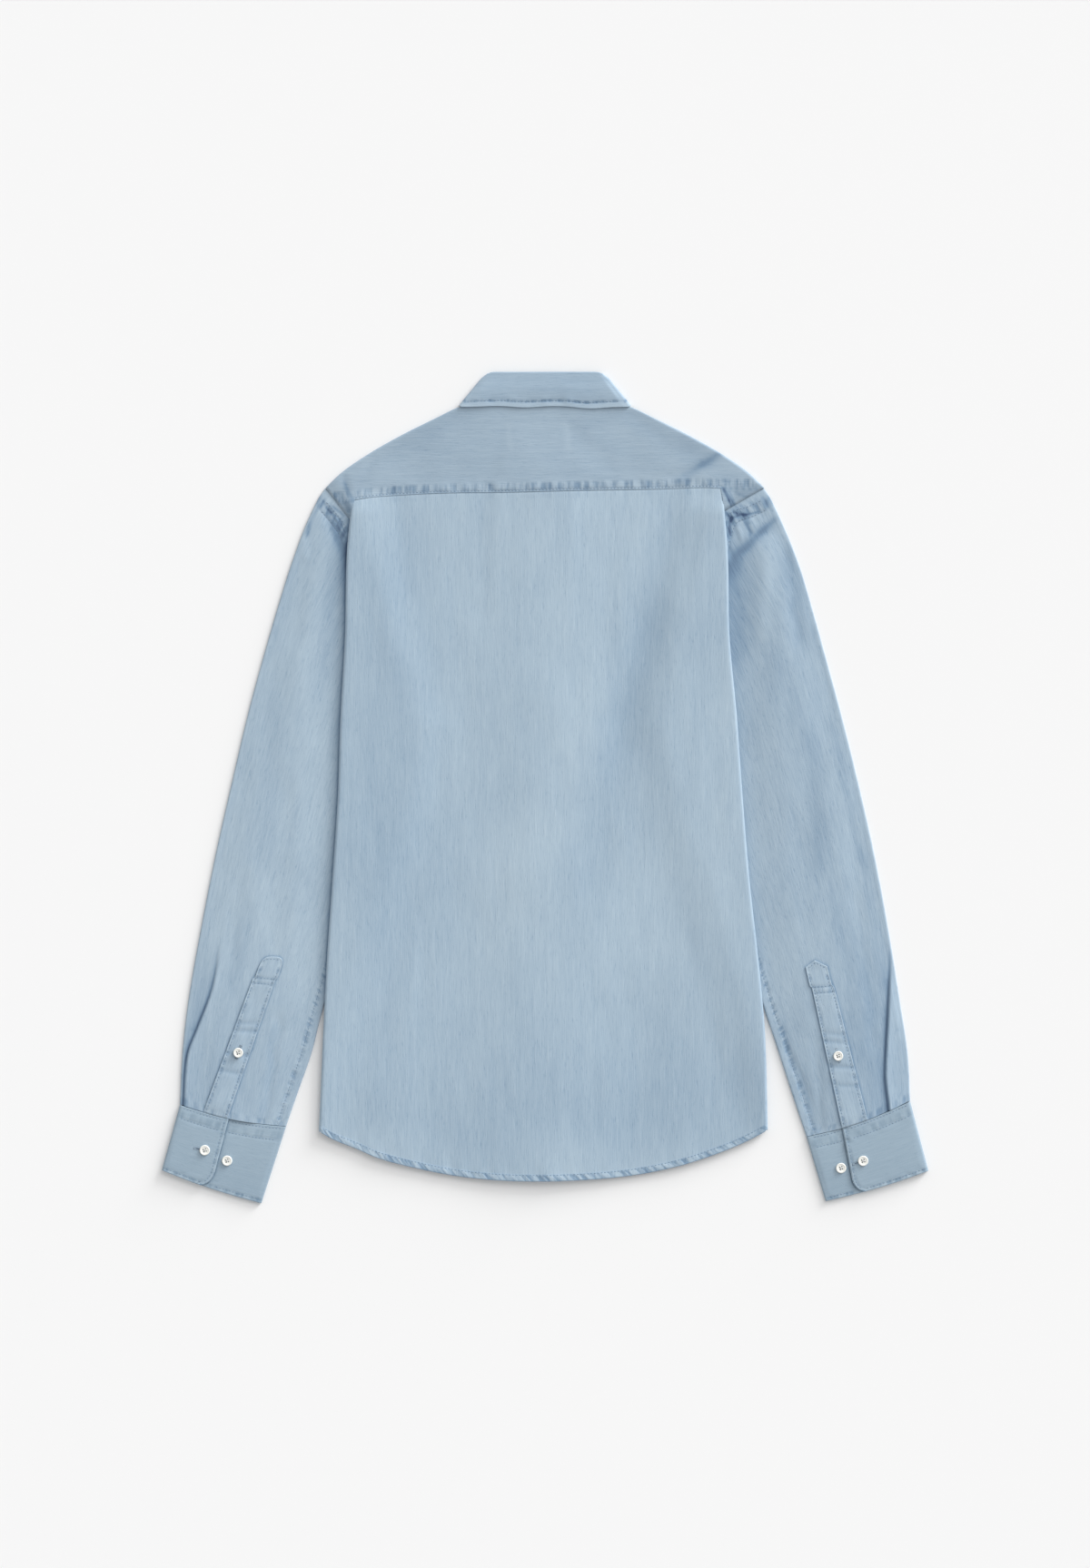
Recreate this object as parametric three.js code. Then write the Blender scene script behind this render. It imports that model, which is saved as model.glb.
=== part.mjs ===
// A denim shirt with long sleeves, laid face down on a flat surface, in millimetres.
// X runs across the shirt, Y from the hem to the collar and Z up. The surface is Z = 0.
// The back is on top. Its sides are folded under, in a pleat that gets wider from the
// shoulder to the underarm, and the sleeves lie under those folds.
import * as THREE from 'three';

// Driving dimensions
const CLOTH = 1.0;
const CUFF_CLOTH = 1.6;
const COLLAR_CLOTH = 1.2;
const GAP = 0.3;
const SLACK = 0.6;
const PLEAT = 62;
const SLEEVE_FLAT = 2.6;
const SLEEVE_FULL = 4.6;
const BUTTON_THICK = 2.2;
const CUFF_BOW = 4.0;
const CUFF_LOW_BOW = 2.0;
const CUFF_BUTTON = 10.0;
const PLACKET_BUTTON = 9.5;
const YOKE_STRIP = 29;
const YOKE_TIP = 212.4;
const FRONT_OVERLAP = 17;
const PLACKET_HALF = 16;

// Heights of the middle of each layer over what lies under the fold
const BACK_RETURN = CLOTH / 2;
const FRONT_RETURN = BACK_RETURN + CLOTH + GAP;
const FRONT_LEVEL = FRONT_RETURN + CLOTH + SLACK;
const BACK_LEVEL = FRONT_LEVEL + CLOTH + SLACK;
const BACK_BEND = (BACK_LEVEL - BACK_RETURN) / 2;
const FRONT_BEND = (FRONT_LEVEL - FRONT_RETURN) / 2;
const FOLD_INSET = BACK_BEND + CLOTH / 2;
const SLEEVE_LIFT = SLEEVE_FLAT + GAP;

// Heights at the front edge, where the buttons, their strip and both fronts are stacked
const STRIP_LEVEL = BUTTON_THICK + GAP + CLOTH / 2;
const LEFT_EDGE_LEVEL = STRIP_LEVEL + CLOTH + GAP;
const RIGHT_EDGE_LEVEL = LEFT_EDGE_LEVEL + CLOTH + GAP;
const CROWN_LEVEL = RIGHT_EDGE_LEVEL + CLOTH + SLACK;
const MIDDLE_LEVEL = 4.6;
const NECK_LEVEL = 3.6;

// Levels of the collar's layers
const LEAF_FRONT = COLLAR_CLOTH / 2;
const STAND_FRONT = LEAF_FRONT + COLLAR_CLOTH + GAP;
const STAND_BACK = STAND_FRONT + COLLAR_CLOTH + GAP;
const LEAF_BACK = STAND_BACK + COLLAR_CLOTH + GAP;

// Heights along Y: where the folded sides end, and the chest that divides the panels' rows
const SIDE_HEM_Y = -334;
const SIDE_TOP_Y = 280;
const CHEST = 250;
const UNDERARM = { x: 129.4, y: 58.1 };

// Stretches over which one height eases into the next: beside the front edge, over a
// sleeve's hidden edge, beside a pleat and up to the shoulder
const EDGE_RAMP = [24, 62];
const SLEEVE_RAMP = [12, 62];
const FRONT_PLEAT_RAMP = [8, 40];
const BACK_PLEAT_RAMP = [2, 64];
const LEAF_RAMP = [8, 48];
const SHOULDER_RAMP = [262, 292];
const YOKE_RAMP = [262, 318];
const CROWN_RAMP = [286, 370];
const NECK_RAMP = [262, 330];
const CROWN_HALF = 95;

const clamp = (value, low, high) => Math.min(high, Math.max(low, value));
const mix = (from, to, part) => from + (to - from) * part;

// A soft step from 0 at low to 1 at high
function ease(low, high, value) {
  const part = clamp((value - low) / (high - low), 0, 1);
  return part * part * (3 - 2 * part);
}

// A smooth curve through the rows of a table, read by one column and giving another
function reader(rows, from, to) {
  const sorted = [...rows].sort((one, other) => one[from] - other[from]);
  const last = sorted.length - 1;
  const slope = (index) => {
    const before = sorted[Math.max(index - 1, 0)];
    const after = sorted[Math.min(index + 1, last)];
    return (after[to] - before[to]) / (after[from] - before[from]);
  };
  return (at) => {
    const value = clamp(at, sorted[0][from], sorted[last][from]);
    let index = 0;
    while (index < last - 1 && value > sorted[index + 1][from]) index += 1;
    const near = sorted[index];
    const far = sorted[index + 1];
    const span = far[from] - near[from];
    const t = (value - near[from]) / span;
    const rise = t * t * (3 - 2 * t);
    const lead = t * (1 - t) * (1 - t) * span * slope(index);
    const tail = t * t * (1 - t) * span * slope(index + 1);
    return mix(near[to], far[to], rise) + lead - tail;
  };
}

// The body's folded edge on each side, as distances from the middle
const foldTable = [
  { y: 279.8, left: 186.6, right: 172.5 },
  { y: 225.3, left: 191.8, right: 176.9 },
  { y: 146.1, left: 193.6, right: 178.6 },
  { y: 66.9, left: 198.0, right: 185.7 },
  { y: -12.3, left: 200.6, right: 191.4 },
  { y: -91.5, left: 205.9, right: 198.0 },
  { y: -170.7, left: 211.2, right: 206.8 },
  { y: -241.1, left: 214.7, right: 213.0 },
  { y: -333.5, left: 218.7, right: 215.6 },
];

// The curved hem, across the back
const hemTable = [
  { x: -218.2, y: -334.4 },
  { x: -204.2, y: -342.3 },
  { x: -182.2, y: -351.1 },
  { x: -161.9, y: -359.9 },
  { x: -129.4, y: -368.7 },
  { x: -84.5, y: -377.5 },
  { x: -36.1, y: -381.9 },
  { x: 21.0, y: -381.9 },
  { x: 80.0, y: -377.5 },
  { x: 125.8, y: -368.7 },
  { x: 154.9, y: -359.9 },
  { x: 178.6, y: -351.1 },
  { x: 198.0, y: -342.3 },
  { x: 215.6, y: -332.6 },
];

// The seam between the yoke and the back
const yokeSeamTable = [
  { x: -186.0, y: 276.3 },
  { x: -164.6, y: 279.8 },
  { x: -99.4, y: 283.4 },
  { x: -34.3, y: 284.2 },
  { x: 35.2, y: 286.0 },
  { x: 105.6, y: 287.3 },
  { x: 152.2, y: 288.9 },
  { x: 172.0, y: 288.0 },
];

// The top of the yoke: the neck seam in the middle and the shoulder fold beside it
const yokeTopTable = [
  { x: 0, y: 375.0 },
  { x: 40, y: 374.5 },
  { x: 60, y: 373.0 },
  { x: 72, y: 370.5 },
  { x: 78, y: 368.4 },
  { x: 84.5, y: 367.0 },
  { x: 104.5, y: 357.3 },
  { x: 139.9, y: 339.7 },
  { x: 170.7, y: 322.1 },
  { x: 196.2, y: 304.5 },
  { x: 213.0, y: 288.5 },
];

// The yoke's columns: where each starts at the seam and ends at the shoulder
const yokeColumns = [
  { seam: 0, top: 0 },
  { seam: 0.16, top: 30 },
  { seam: 0.3, top: 56 },
  { seam: 0.4, top: 72 },
  { seam: 0.48, top: 84.5 },
  { seam: 0.6, top: 104.5 },
  { seam: 0.74, top: 136 },
  { seam: 0.86, top: 165 },
  { seam: 0.95, top: 184 },
  { seam: 1, top: 196 },
];

// What differs between the two sides; distances are from the middle
const sides = {
  left: {
    sign: -1,
    crossing: { x: 190.5, y: 257.4 },
    corner: [{ x: 188.2, y: 270.0 }, { x: 191.2, y: 258.6 }],
    frontEnd: { x: 196.5, y: 267.5 },
    armhole: [
      { x: 214.3, y: 286.7 }, { x: 204.2, y: 275.9 }, { x: 195.4, y: 264.9 },
      { x: 190.5, y: 257.4 }, { x: 171.8, y: 196.5 }, { x: 150.0, y: 122.0 },
      { x: 129.4, y: 58.1 },
    ],
    outer: [
      { x: 214.7, y: 286.9 }, { x: 220.0, y: 278.1 }, { x: 232.3, y: 251.7 },
      { x: 242.0, y: 225.3 }, { x: 250.8, y: 198.9 }, { x: 266.6, y: 146.1 },
      { x: 286.0, y: 75.7 }, { x: 302.7, y: 5.3 }, { x: 318.6, y: -65.1 },
      { x: 332.6, y: -135.5 }, { x: 345.0, y: -205.9 }, { x: 351.1, y: -258.7 },
      { x: 353.5, y: -308.4 },
    ],
    inner: [
      { x: 129.4, y: 58.1 }, { x: 173.0, y: -80.0 }, { x: 215.6, y: -217.4 },
      { x: 226.2, y: -258.7 }, { x: 238.5, y: -293.9 }, { x: 250.8, y: -329.6 },
    ],
    cuff: {
      topOuter: { x: 353.5, y: -308.9 },
      topInner: { x: 250.8, y: -330.0 },
      lowOuter: { x: 370.9, y: -371.4 },
      lowInner: { x: 274.7, y: -403.6 },
      flapTop: 0.46,
      flapLow: 0.49,
    },
    placket: {
      tip: { x: 271.0, y: -165.4 },
      top: { outer: { x: 279.6, y: -178.6 }, inner: { x: 258.6, y: -180.5 } },
      low: { outer: { x: 325.7, y: -303.0 }, inner: { x: 305.3, y: -317.0 } },
      pointed: 0.35,
    },
    buttons: [
      { name: 'placket', x: 296.7, y: -257.8, size: PLACKET_BUTTON },
      { name: 'cuff_outer', x: 329.1, y: -352.2, size: CUFF_BUTTON },
      { name: 'cuff_inner', x: 307.7, y: -362.5, size: CUFF_BUTTON },
    ],
  },
  right: {
    sign: 1,
    crossing: { x: 175.0, y: 267.5 },
    corner: [{ x: 174.4, y: 278.0 }, { x: 176.0, y: 269.0 }],
    frontEnd: { x: 183.0, y: 271.8 },
    armhole: [
      { x: 213.4, y: 286.4 }, { x: 205.7, y: 281.6 }, { x: 194.5, y: 276.3 },
      { x: 175.0, y: 267.5 }, { x: 163.0, y: 205.0 }, { x: 146.0, y: 128.0 },
      { x: 129.4, y: 58.1 },
    ],
    outer: [
      { x: 213.8, y: 286.9 }, { x: 219.1, y: 278.1 }, { x: 231.4, y: 251.7 },
      { x: 242.0, y: 225.3 }, { x: 250.8, y: 198.9 }, { x: 265.8, y: 146.1 },
      { x: 285.1, y: 75.7 }, { x: 302.7, y: 5.3 }, { x: 318.6, y: -65.1 },
      { x: 331.8, y: -135.5 }, { x: 343.2, y: -205.9 }, { x: 351.1, y: -258.7 },
      { x: 353.5, y: -305.0 },
    ],
    inner: [
      { x: 129.4, y: 58.1 }, { x: 172.0, y: -82.0 }, { x: 214.3, y: -221.8 },
      { x: 220.9, y: -241.1 }, { x: 232.3, y: -276.3 }, { x: 243.8, y: -311.5 },
      { x: 253.3, y: -339.6 },
    ],
    cuff: {
      topOuter: { x: 353.5, y: -305.5 },
      topInner: { x: 253.3, y: -340.0 },
      lowOuter: { x: 371.2, y: -372.0 },
      lowInner: { x: 271.8, y: -401.5 },
      flapTop: 0.655,
      flapLow: 0.72,
    },
    placket: {
      tip: { x: 262.6, y: -169.0 },
      top: { outer: { x: 277.4, y: -186.0 }, inner: { x: 256.2, y: -187.0 } },
      low: { outer: { x: 311.6, y: -321.5 }, inner: { x: 286.6, y: -328.5 } },
      pointed: 1,
    },
    buttons: [
      { name: 'placket', x: 283.6, y: -260.9, size: PLACKET_BUTTON },
      { name: 'cuff_outer', x: 307.7, y: -362.5, size: CUFF_BUTTON },
      { name: 'cuff_inner', x: 286.5, y: -369.6, size: CUFF_BUTTON },
    ],
  },
};

// The collar from its side fold to the middle of the front: its fall line, the leaf's
// outer edge and the neck seam
const collarTable = [
  { fallX: 53.2, fallY: 401.2, outerX: 81.1, outerY: 367.2, neckX: 76.6, neckY: 371.4 },
  { fallX: 52.0, fallY: 366.0, outerX: 76.5, outerY: 334.0, neckX: 69.0, neckY: 347.0 },
  { fallX: 44.0, fallY: 335.0, outerX: 69.0, outerY: 300.0, neckX: 56.0, neckY: 314.5 },
  { fallX: 28.0, fallY: 311.0, outerX: 61.0, outerY: 267.0, neckX: 36.0, neckY: 288.0 },
  { fallX: 5.0, fallY: 300.0, outerX: 52.0, outerY: 238.0, neckX: 14.0, neckY: 274.5 },
];
const COLLAR_TOP = { x: 55.4, y: 403.0 };
const COLLAR_LOW = { x: 83.3, y: 369.0 };
const STAND_END = { fallX: -12, fallY: 298.5, neckX: -12, neckY: 274 };
const FRONT_NECK = { x: 0, y: 271.5 };

const seamHeight = reader(yokeSeamTable, 'x', 'y');
const hemHeight = reader(hemTable, 'x', 'y');
const yokeTop = reader(yokeTopTable, 'x', 'y');
for (const [name, side] of Object.entries(sides)) {
  side.name = name;
  side.fold = reader(foldTable, 'y', name);
  side.outerAt = reader(side.outer, 'y', 'x');
  side.innerAt = reader(side.inner, 'y', 'x');
}
const sideAt = (x) => (x < 0 ? sides.left : sides.right);

// How high the body lies on the hidden part of a sleeve, which ends at the armhole above
// the underarm and at the sleeve's inner edge below it
function sleeveLift(x, y) {
  const side = sideAt(x);
  const edge = side.inner[2];
  const arm = (side.crossing.x - UNDERARM.x) / (side.crossing.y - UNDERARM.y);
  const under = (edge.x - UNDERARM.x) / (UNDERARM.y - edge.y);
  const above = UNDERARM.x + (y - UNDERARM.y) * arm;
  const below = UNDERARM.x + (UNDERARM.y - y) * under;
  const away = Math.max(above, below) - Math.abs(x);
  return SLEEVE_LIFT * (1 - ease(...SLEEVE_RAMP, away)) * (1 - ease(...SHOULDER_RAMP, y));
}

const axisX = (side, y) => side.fold(y) - FOLD_INSET;

// The width of cloth folded under at a height
function pleatWidth(side, y) {
  return PLEAT * clamp((side.crossing.y - y) / (side.crossing.y - UNDERARM.y), 0, 1);
}

// How far a point is from the hidden side seam, towards the middle
function fromPleat(x, y) {
  const side = sideAt(x);
  return axisX(side, y) - pleatWidth(side, y) - Math.abs(x);
}

// The rise of the fronts over the front edge's stack, over the collar's leaf and over
// the folded sides
function frontRise(x, y) {
  const atEdge = (LEFT_EDGE_LEVEL - CLOTH / 2) * (1 - ease(...EDGE_RAMP, Math.abs(x)));
  const leafReach = Math.hypot(Math.max(Math.abs(x) - 84, 0), Math.max(236 - y, 0));
  const onLeaf = (COLLAR_CLOTH + GAP) * (1 - ease(...LEAF_RAMP, leafReach));
  const pleat = (FRONT_LEVEL - CLOTH / 2) * (1 - ease(...FRONT_PLEAT_RAMP, fromPleat(x, y)));
  const folded = pleat * (1 - ease(...SHOULDER_RAMP, y)) + sleeveLift(x, y);
  return Math.max(atEdge, onLeaf, folded);
}

const leftFrontLevel = (x, y) => CLOTH / 2 + frontRise(x, y);

function rightFrontLevel(x, y) {
  const overLeft = (CLOTH + GAP) * (1 - ease(...EDGE_RAMP, x));
  return leftFrontLevel(x, y) + overLeft;
}

// The middle of the top layer: the back and the yoke
function topLevel(x, y) {
  const crown = mix(CROWN_LEVEL, NECK_LEVEL, ease(...CROWN_RAMP, y));
  const between = mix(MIDDLE_LEVEL, NECK_LEVEL, ease(...NECK_RAMP, y));
  const open = mix(crown, between, ease(0, CROWN_HALF, Math.abs(x)));
  const pleat = (1 - ease(...BACK_PLEAT_RAMP, fromPleat(x, y))) * (1 - ease(...YOKE_RAMP, y));
  return mix(open, Math.max(open, BACK_LEVEL + sleeveLift(x, y)), pleat);
}

// The height of a sleeve's top over the surface
function sleeveTop(x, y) {
  const side = sideAt(x);
  const distance = Math.abs(x);
  const fromOuter = ease(0, 40, side.outerAt(y) - distance);
  const inner = Math.max(side.innerAt(y), side.fold(y));
  const fromInner = ease(4, 44, distance - inner) * (1 - ease(225, 262, y));
  return mix(SLEEVE_FLAT, SLEEVE_FULL, fromOuter * fromInner);
}

// A sheet of cloth from a grid of points on its middle. Cells that are not there are
// left open, and extra is added to the outer face at each point.
function sheet(grid, { thick = CLOTH, ring = false, has = () => true, extra = () => 0 } = {}) {
  const rows = grid.length;
  const columns = grid[0].length;
  const spans = ring ? columns : columns - 1;
  const at = (row, column) => row * columns + (column % columns);
  const points = grid.flat();
  const normals = points.map(() => new THREE.Vector3());
  const cells = [];
  for (let row = 0; row < rows - 1; row += 1) {
    for (let column = 0; column < spans; column += 1) {
      if (!has(row, column)) continue;
      const cell = [at(row, column), at(row, column + 1), at(row + 1, column + 1), at(row + 1, column)];
      const across = points[cell[2]].clone().sub(points[cell[0]]);
      const along = points[cell[3]].clone().sub(points[cell[1]]);
      const normal = across.cross(along).normalize();
      cell.forEach((index) => normals[index].add(normal));
      cells.push(cell);
    }
  }
  const used = new Map();
  const positions = [];
  cells.flat().forEach((index) => {
    if (used.has(index)) return;
    used.set(index, used.size);
    const normal = normals[index].normalize();
    const outer = points[index].clone().addScaledVector(normal, thick / 2 + extra(index, columns));
    const inner = points[index].clone().addScaledVector(normal, -thick / 2);
    positions.push(...outer.toArray(), ...inner.toArray());
  });
  const top = (index) => used.get(index) * 2;
  const low = (index) => used.get(index) * 2 + 1;
  const faces = [];
  const edges = new Set();
  cells.forEach(([a, b, c, d]) => {
    faces.push(top(a), top(b), top(c), top(a), top(c), top(d));
    faces.push(low(a), low(c), low(b), low(a), low(d), low(c));
    [[a, b], [b, c], [c, d], [d, a]].forEach(([from, to]) => edges.add(`${from},${to}`));
  });
  edges.forEach((edge) => {
    const [from, to] = edge.split(',').map(Number);
    if (edges.has(`${to},${from}`)) return;
    faces.push(top(from), low(from), low(to), top(from), low(to), top(to));
  });
  const geometry = new THREE.BufferGeometry();
  geometry.setAttribute('position', new THREE.Float32BufferAttribute(positions, 3));
  geometry.setIndex(faces);
  return geometry;
}

const shirt = new THREE.Group();
const denim = new THREE.MeshStandardMaterial({ color: 0xa5b8c7, roughness: 0.95, metalness: 0 });
const denimSleeve = new THREE.MeshStandardMaterial({ color: 0xa2b5c5, roughness: 0.95, metalness: 0 });
const denimCuff = new THREE.MeshStandardMaterial({ color: 0x9dafbe, roughness: 0.95, metalness: 0 });
const buttonWhite = new THREE.MeshStandardMaterial({ color: 0xeeeeea, roughness: 0.35, metalness: 0 });

function add(name, geometry, material) {
  const mesh = new THREE.Mesh(geometry, material);
  mesh.name = name;
  shirt.add(mesh);
  return mesh;
}

// Body panels are made of columns that run from the hem to the top. Each column has the
// height of its two ends and places a point at a height between them.
const ROWS_BELOW_CHEST = 16;
const ROWS_ABOVE_CHEST = 3;
const HEM_FOLD = 6;
const HEM_ROLL = 0.35;
const panelRows = ROWS_BELOW_CHEST + ROWS_ABOVE_CHEST;

function rowHeight(column, row) {
  const { low, high } = column;
  if (row === 0) return low;
  if (row === 1) return low + HEM_FOLD;
  if (high <= CHEST) return mix(low + HEM_FOLD, high, (row - 1) / (panelRows - 1));
  const lower = ROWS_BELOW_CHEST - 1;
  if (row <= ROWS_BELOW_CHEST) return mix(low + HEM_FOLD, CHEST, (row - 1) / lower);
  return mix(CHEST, high, (row - ROWS_BELOW_CHEST) / ROWS_ABOVE_CHEST);
}

function panelGrid(columns) {
  const grid = [];
  for (let row = 0; row <= panelRows; row += 1) {
    grid.push(columns.map((column) => column.place(rowHeight(column, row))));
  }
  return grid;
}

const MAIN_PARTS = [0.14, 0.3, 0.45, 0.58, 0.7, 0.8, 0.9, 1];
const BEND_ANGLES = [36, 72, 108, 144];
const PLEAT_COLUMNS = [0, 14, 30, 46, PLEAT];
const PLEAT_HEM_RISE = 0.4;

// A column on the flat part of a panel, at a part of the way to the folded edge
function mainColumn(side, part, level, hem, top) {
  const hemX = side.sign * part * axisX(side, SIDE_HEM_Y);
  const topX = side.sign * part * axisX(side, SIDE_TOP_Y);
  return {
    low: hem(hemX),
    high: top(topX),
    place: (y) => {
      const x = side.sign * part * axisX(side, y);
      return new THREE.Vector3(x, y, level(x, y));
    },
  };
}

// The columns round the folded edge and along the cloth under it
function foldedColumns(side, bend, over, under, hemRise, topY) {
  const low = hemHeight(side.sign * side.fold(SIDE_HEM_Y)) + hemRise;
  const reach = side.crossing.y - UNDERARM.y;
  const bends = BEND_ANGLES.map((degrees) => {
    const angle = THREE.MathUtils.degToRad(degrees);
    return {
      low,
      high: mix(topY, side.crossing.y - GAP, degrees / 180),
      place: (y) => {
        const axis = side.sign * axisX(side, y);
        const high = over(axis, y);
        const deep = under + sleeveLift(axis, y);
        const z = (high + deep) / 2 + ((high - deep) / 2) * Math.cos(angle);
        return new THREE.Vector3(axis + side.sign * bend * Math.sin(angle), y, z);
      },
    };
  });
  const returns = PLEAT_COLUMNS.map((inset) => ({
    low: low + PLEAT_HEM_RISE * inset,
    high: side.crossing.y - GAP - (inset / PLEAT) * reach * 0.98,
    place: (y) => {
      const x = side.sign * (axisX(side, y) - inset);
      return new THREE.Vector3(x, y, under + sleeveLift(x, y));
    },
  }));
  return [...bends, ...returns];
}

function backPanel() {
  const seam = (x) => seamHeight(x) - GAP / 2;
  const half = (side) => [
    ...MAIN_PARTS.map((part) => mainColumn(side, part, topLevel, hemHeight, seam)),
    ...foldedColumns(side, BACK_BEND, topLevel, BACK_RETURN, 0, seam(side.sign * axisX(side, SIDE_TOP_Y))),
  ];
  const middle = mainColumn(sides.right, 0, topLevel, hemHeight, seam);
  const columns = [...half(sides.left).reverse(), middle, ...half(sides.right)];
  const count = columns.length;
  const hidden = BEND_ANGLES.length + PLEAT_COLUMNS.length;
  const isOnTop = (column) => column >= hidden && column < count - hidden;
  const hemRoll = (index) => (index < 2 * count && isOnTop(index % count) ? HEM_ROLL : 0);
  return sheet(panelGrid(columns), { extra: hemRoll });
}

// The top of a front: the neck, then the seam with the yoke under the shoulder
const frontTop = reader([
  { x: 0, y: FRONT_NECK.y },
  { x: 14, y: 271.8 },
  { x: 27, y: 274.8 },
  { x: 36, y: 281.5 },
  { x: 56, y: 309.5 },
  { x: 66, y: 333.0 },
  { x: 70, y: 340.6 },
  { x: 110, y: 317.0 },
  { x: 150, y: 292.2 },
  { x: 186, y: 269.0 },
], 'x', 'y');
const FRONT_HEM_UP = 4;

function frontPanel(side, level) {
  const hem = (x) => hemHeight(x) + FRONT_HEM_UP;
  const top = (x) => frontTop(Math.abs(x)) - GAP;
  const edge = {
    low: hem(0),
    high: FRONT_NECK.y,
    place: (y) => new THREE.Vector3(-side.sign * FRONT_OVERLAP, y, level(-side.sign * FRONT_OVERLAP, y)),
  };
  const columns = [
    edge,
    mainColumn(side, 0, level, hem, top),
    ...MAIN_PARTS.map((part) => mainColumn(side, part, level, hem, top)),
    ...foldedColumns(side, FRONT_BEND, level, FRONT_RETURN, FRONT_HEM_UP, top(axisX(side, SIDE_TOP_Y))),
  ];
  return sheet(panelGrid(side.sign < 0 ? columns.reverse() : columns));
}

// The strip along the left front's edge, under it, on the buttons
function frontStrip() {
  const rows = 16;
  const grid = [];
  for (let row = 0; row <= rows; row += 1) {
    const low = hemHeight(0) + FRONT_HEM_UP;
    const y = mix(low, FRONT_NECK.y - 1, row / rows);
    grid.push([-PLACKET_HALF, 0, PLACKET_HALF].map((x) => new THREE.Vector3(x, y, STRIP_LEVEL)));
  }
  return sheet(grid);
}

// The yoke: up from the seam, over the shoulder fold and down to the seam in front
function yokePanel() {
  const rows = 7;
  const bends = [45, 90, 135];
  const strips = [0, 0.35, 0.7, 1];
  const half = (side) => {
    const inner = yokeColumns.map(({ seam, top }) => {
      const x = side.sign * seam * axisX(side, SIDE_TOP_Y);
      const start = { x, y: seamHeight(x) + GAP * 1.2 };
      return { seam: start, top: { x: side.sign * top, y: yokeTop(top) } };
    });
    const outer = side.corner.map((corner, index) => {
      const x = mix(196, YOKE_TIP, (index + 1) / 2);
      const start = { x: side.sign * corner.x, y: corner.y };
      return { seam: start, top: { x: side.sign * x, y: yokeTop(x) } };
    });
    return [...inner, ...outer].map((column) => ({ ...column, side }));
  };
  const left = half(sides.left).reverse();
  const right = half(sides.right).slice(1);
  const columns = [...left, ...right];
  const grid = [];
  const strip = ({ top, side }) => {
    const distance = Math.abs(top.x);
    const slope = (yokeTop(distance + 2) - yokeTop(distance - 2)) / 4;
    const length = Math.hypot(1, slope);
    const square = { x: (slope / length) * YOKE_STRIP, y: -YOKE_STRIP / length };
    const share = clamp((distance - 184) / (YOKE_TIP - 184), 0, 1);
    const x = mix(square.x, side.frontEnd.x - distance, share);
    const y = mix(square.y, side.frontEnd.y - top.y, share);
    const reach = Math.hypot(x, y);
    return { x: (side.sign * x) / reach, y: y / reach, reach };
  };
  const yokeLevel = (side, x, y) => {
    const beyond = ease(0, 12, Math.abs(x) - side.fold(y)) * ease(304, 272, y);
    return mix(topLevel(x, y), 3.0, beyond);
  };
  const returnLevel = (x) => CLOTH / 2 + (COLLAR_CLOTH + GAP) * (1 - ease(96, 130, Math.abs(x)));
  const bendOf = (column) => {
    const { top, side } = column;
    const high = yokeLevel(side, top.x, top.y);
    return { high, low: returnLevel(top.x), inward: strip(column) };
  };
  for (let row = 0; row <= rows; row += 1) {
    grid.push(columns.map((column) => {
      const { seam, top, side } = column;
      const { high, low, inward } = bendOf(column);
      const isShoulder = Math.abs(top.x) > 80;
      const radius = isShoulder ? (high - low) / 2 + CLOTH / 2 : 0;
      const x = mix(seam.x, top.x + inward.x * radius, row / rows);
      const y = mix(seam.y, top.y + inward.y * radius, row / rows);
      return new THREE.Vector3(x, y, yokeLevel(side, x, y));
    }));
  }
  const onFold = (column, forward, turn) => {
    const { high, low, inward } = bendOf(column);
    const radius = (high - low) / 2;
    const inset = radius + CLOTH / 2 + forward - radius * Math.sin(turn);
    const x = column.top.x + inward.x * inset;
    const y = column.top.y + inward.y * inset;
    return new THREE.Vector3(x, y, (high + low) / 2 + radius * Math.cos(turn));
  };
  bends.forEach((degrees) => {
    grid.push(columns.map((column) => onFold(column, 0, THREE.MathUtils.degToRad(degrees))));
  });
  strips.forEach((part) => {
    grid.push(columns.map((column) => onFold(column, part * (strip(column).reach - 3), Math.PI)));
  });
  const isShoulderCell = (column) => {
    const near = Math.abs(columns[column].top.x);
    const far = Math.abs(columns[column + 1].top.x);
    return Math.min(near, far) > 80;
  };
  return sheet(grid, { has: (row, column) => row < rows || isShoulderCell(column) });
}

// Collar pieces are a back part, a fold on each side and two front parts. The side
// folds turn about lines inside the collar's slanted sides.
const leafBend = (LEAF_BACK - LEAF_FRONT) / 2;
const standBend = (STAND_BACK - STAND_FRONT) / 2;
const collarSlant = { x: COLLAR_LOW.x - COLLAR_TOP.x, y: COLLAR_LOW.y - COLLAR_TOP.y };
const slantLength = Math.hypot(collarSlant.x, collarSlant.y);
const collarOut = { x: -collarSlant.y / slantLength, y: collarSlant.x / slantLength };

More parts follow.
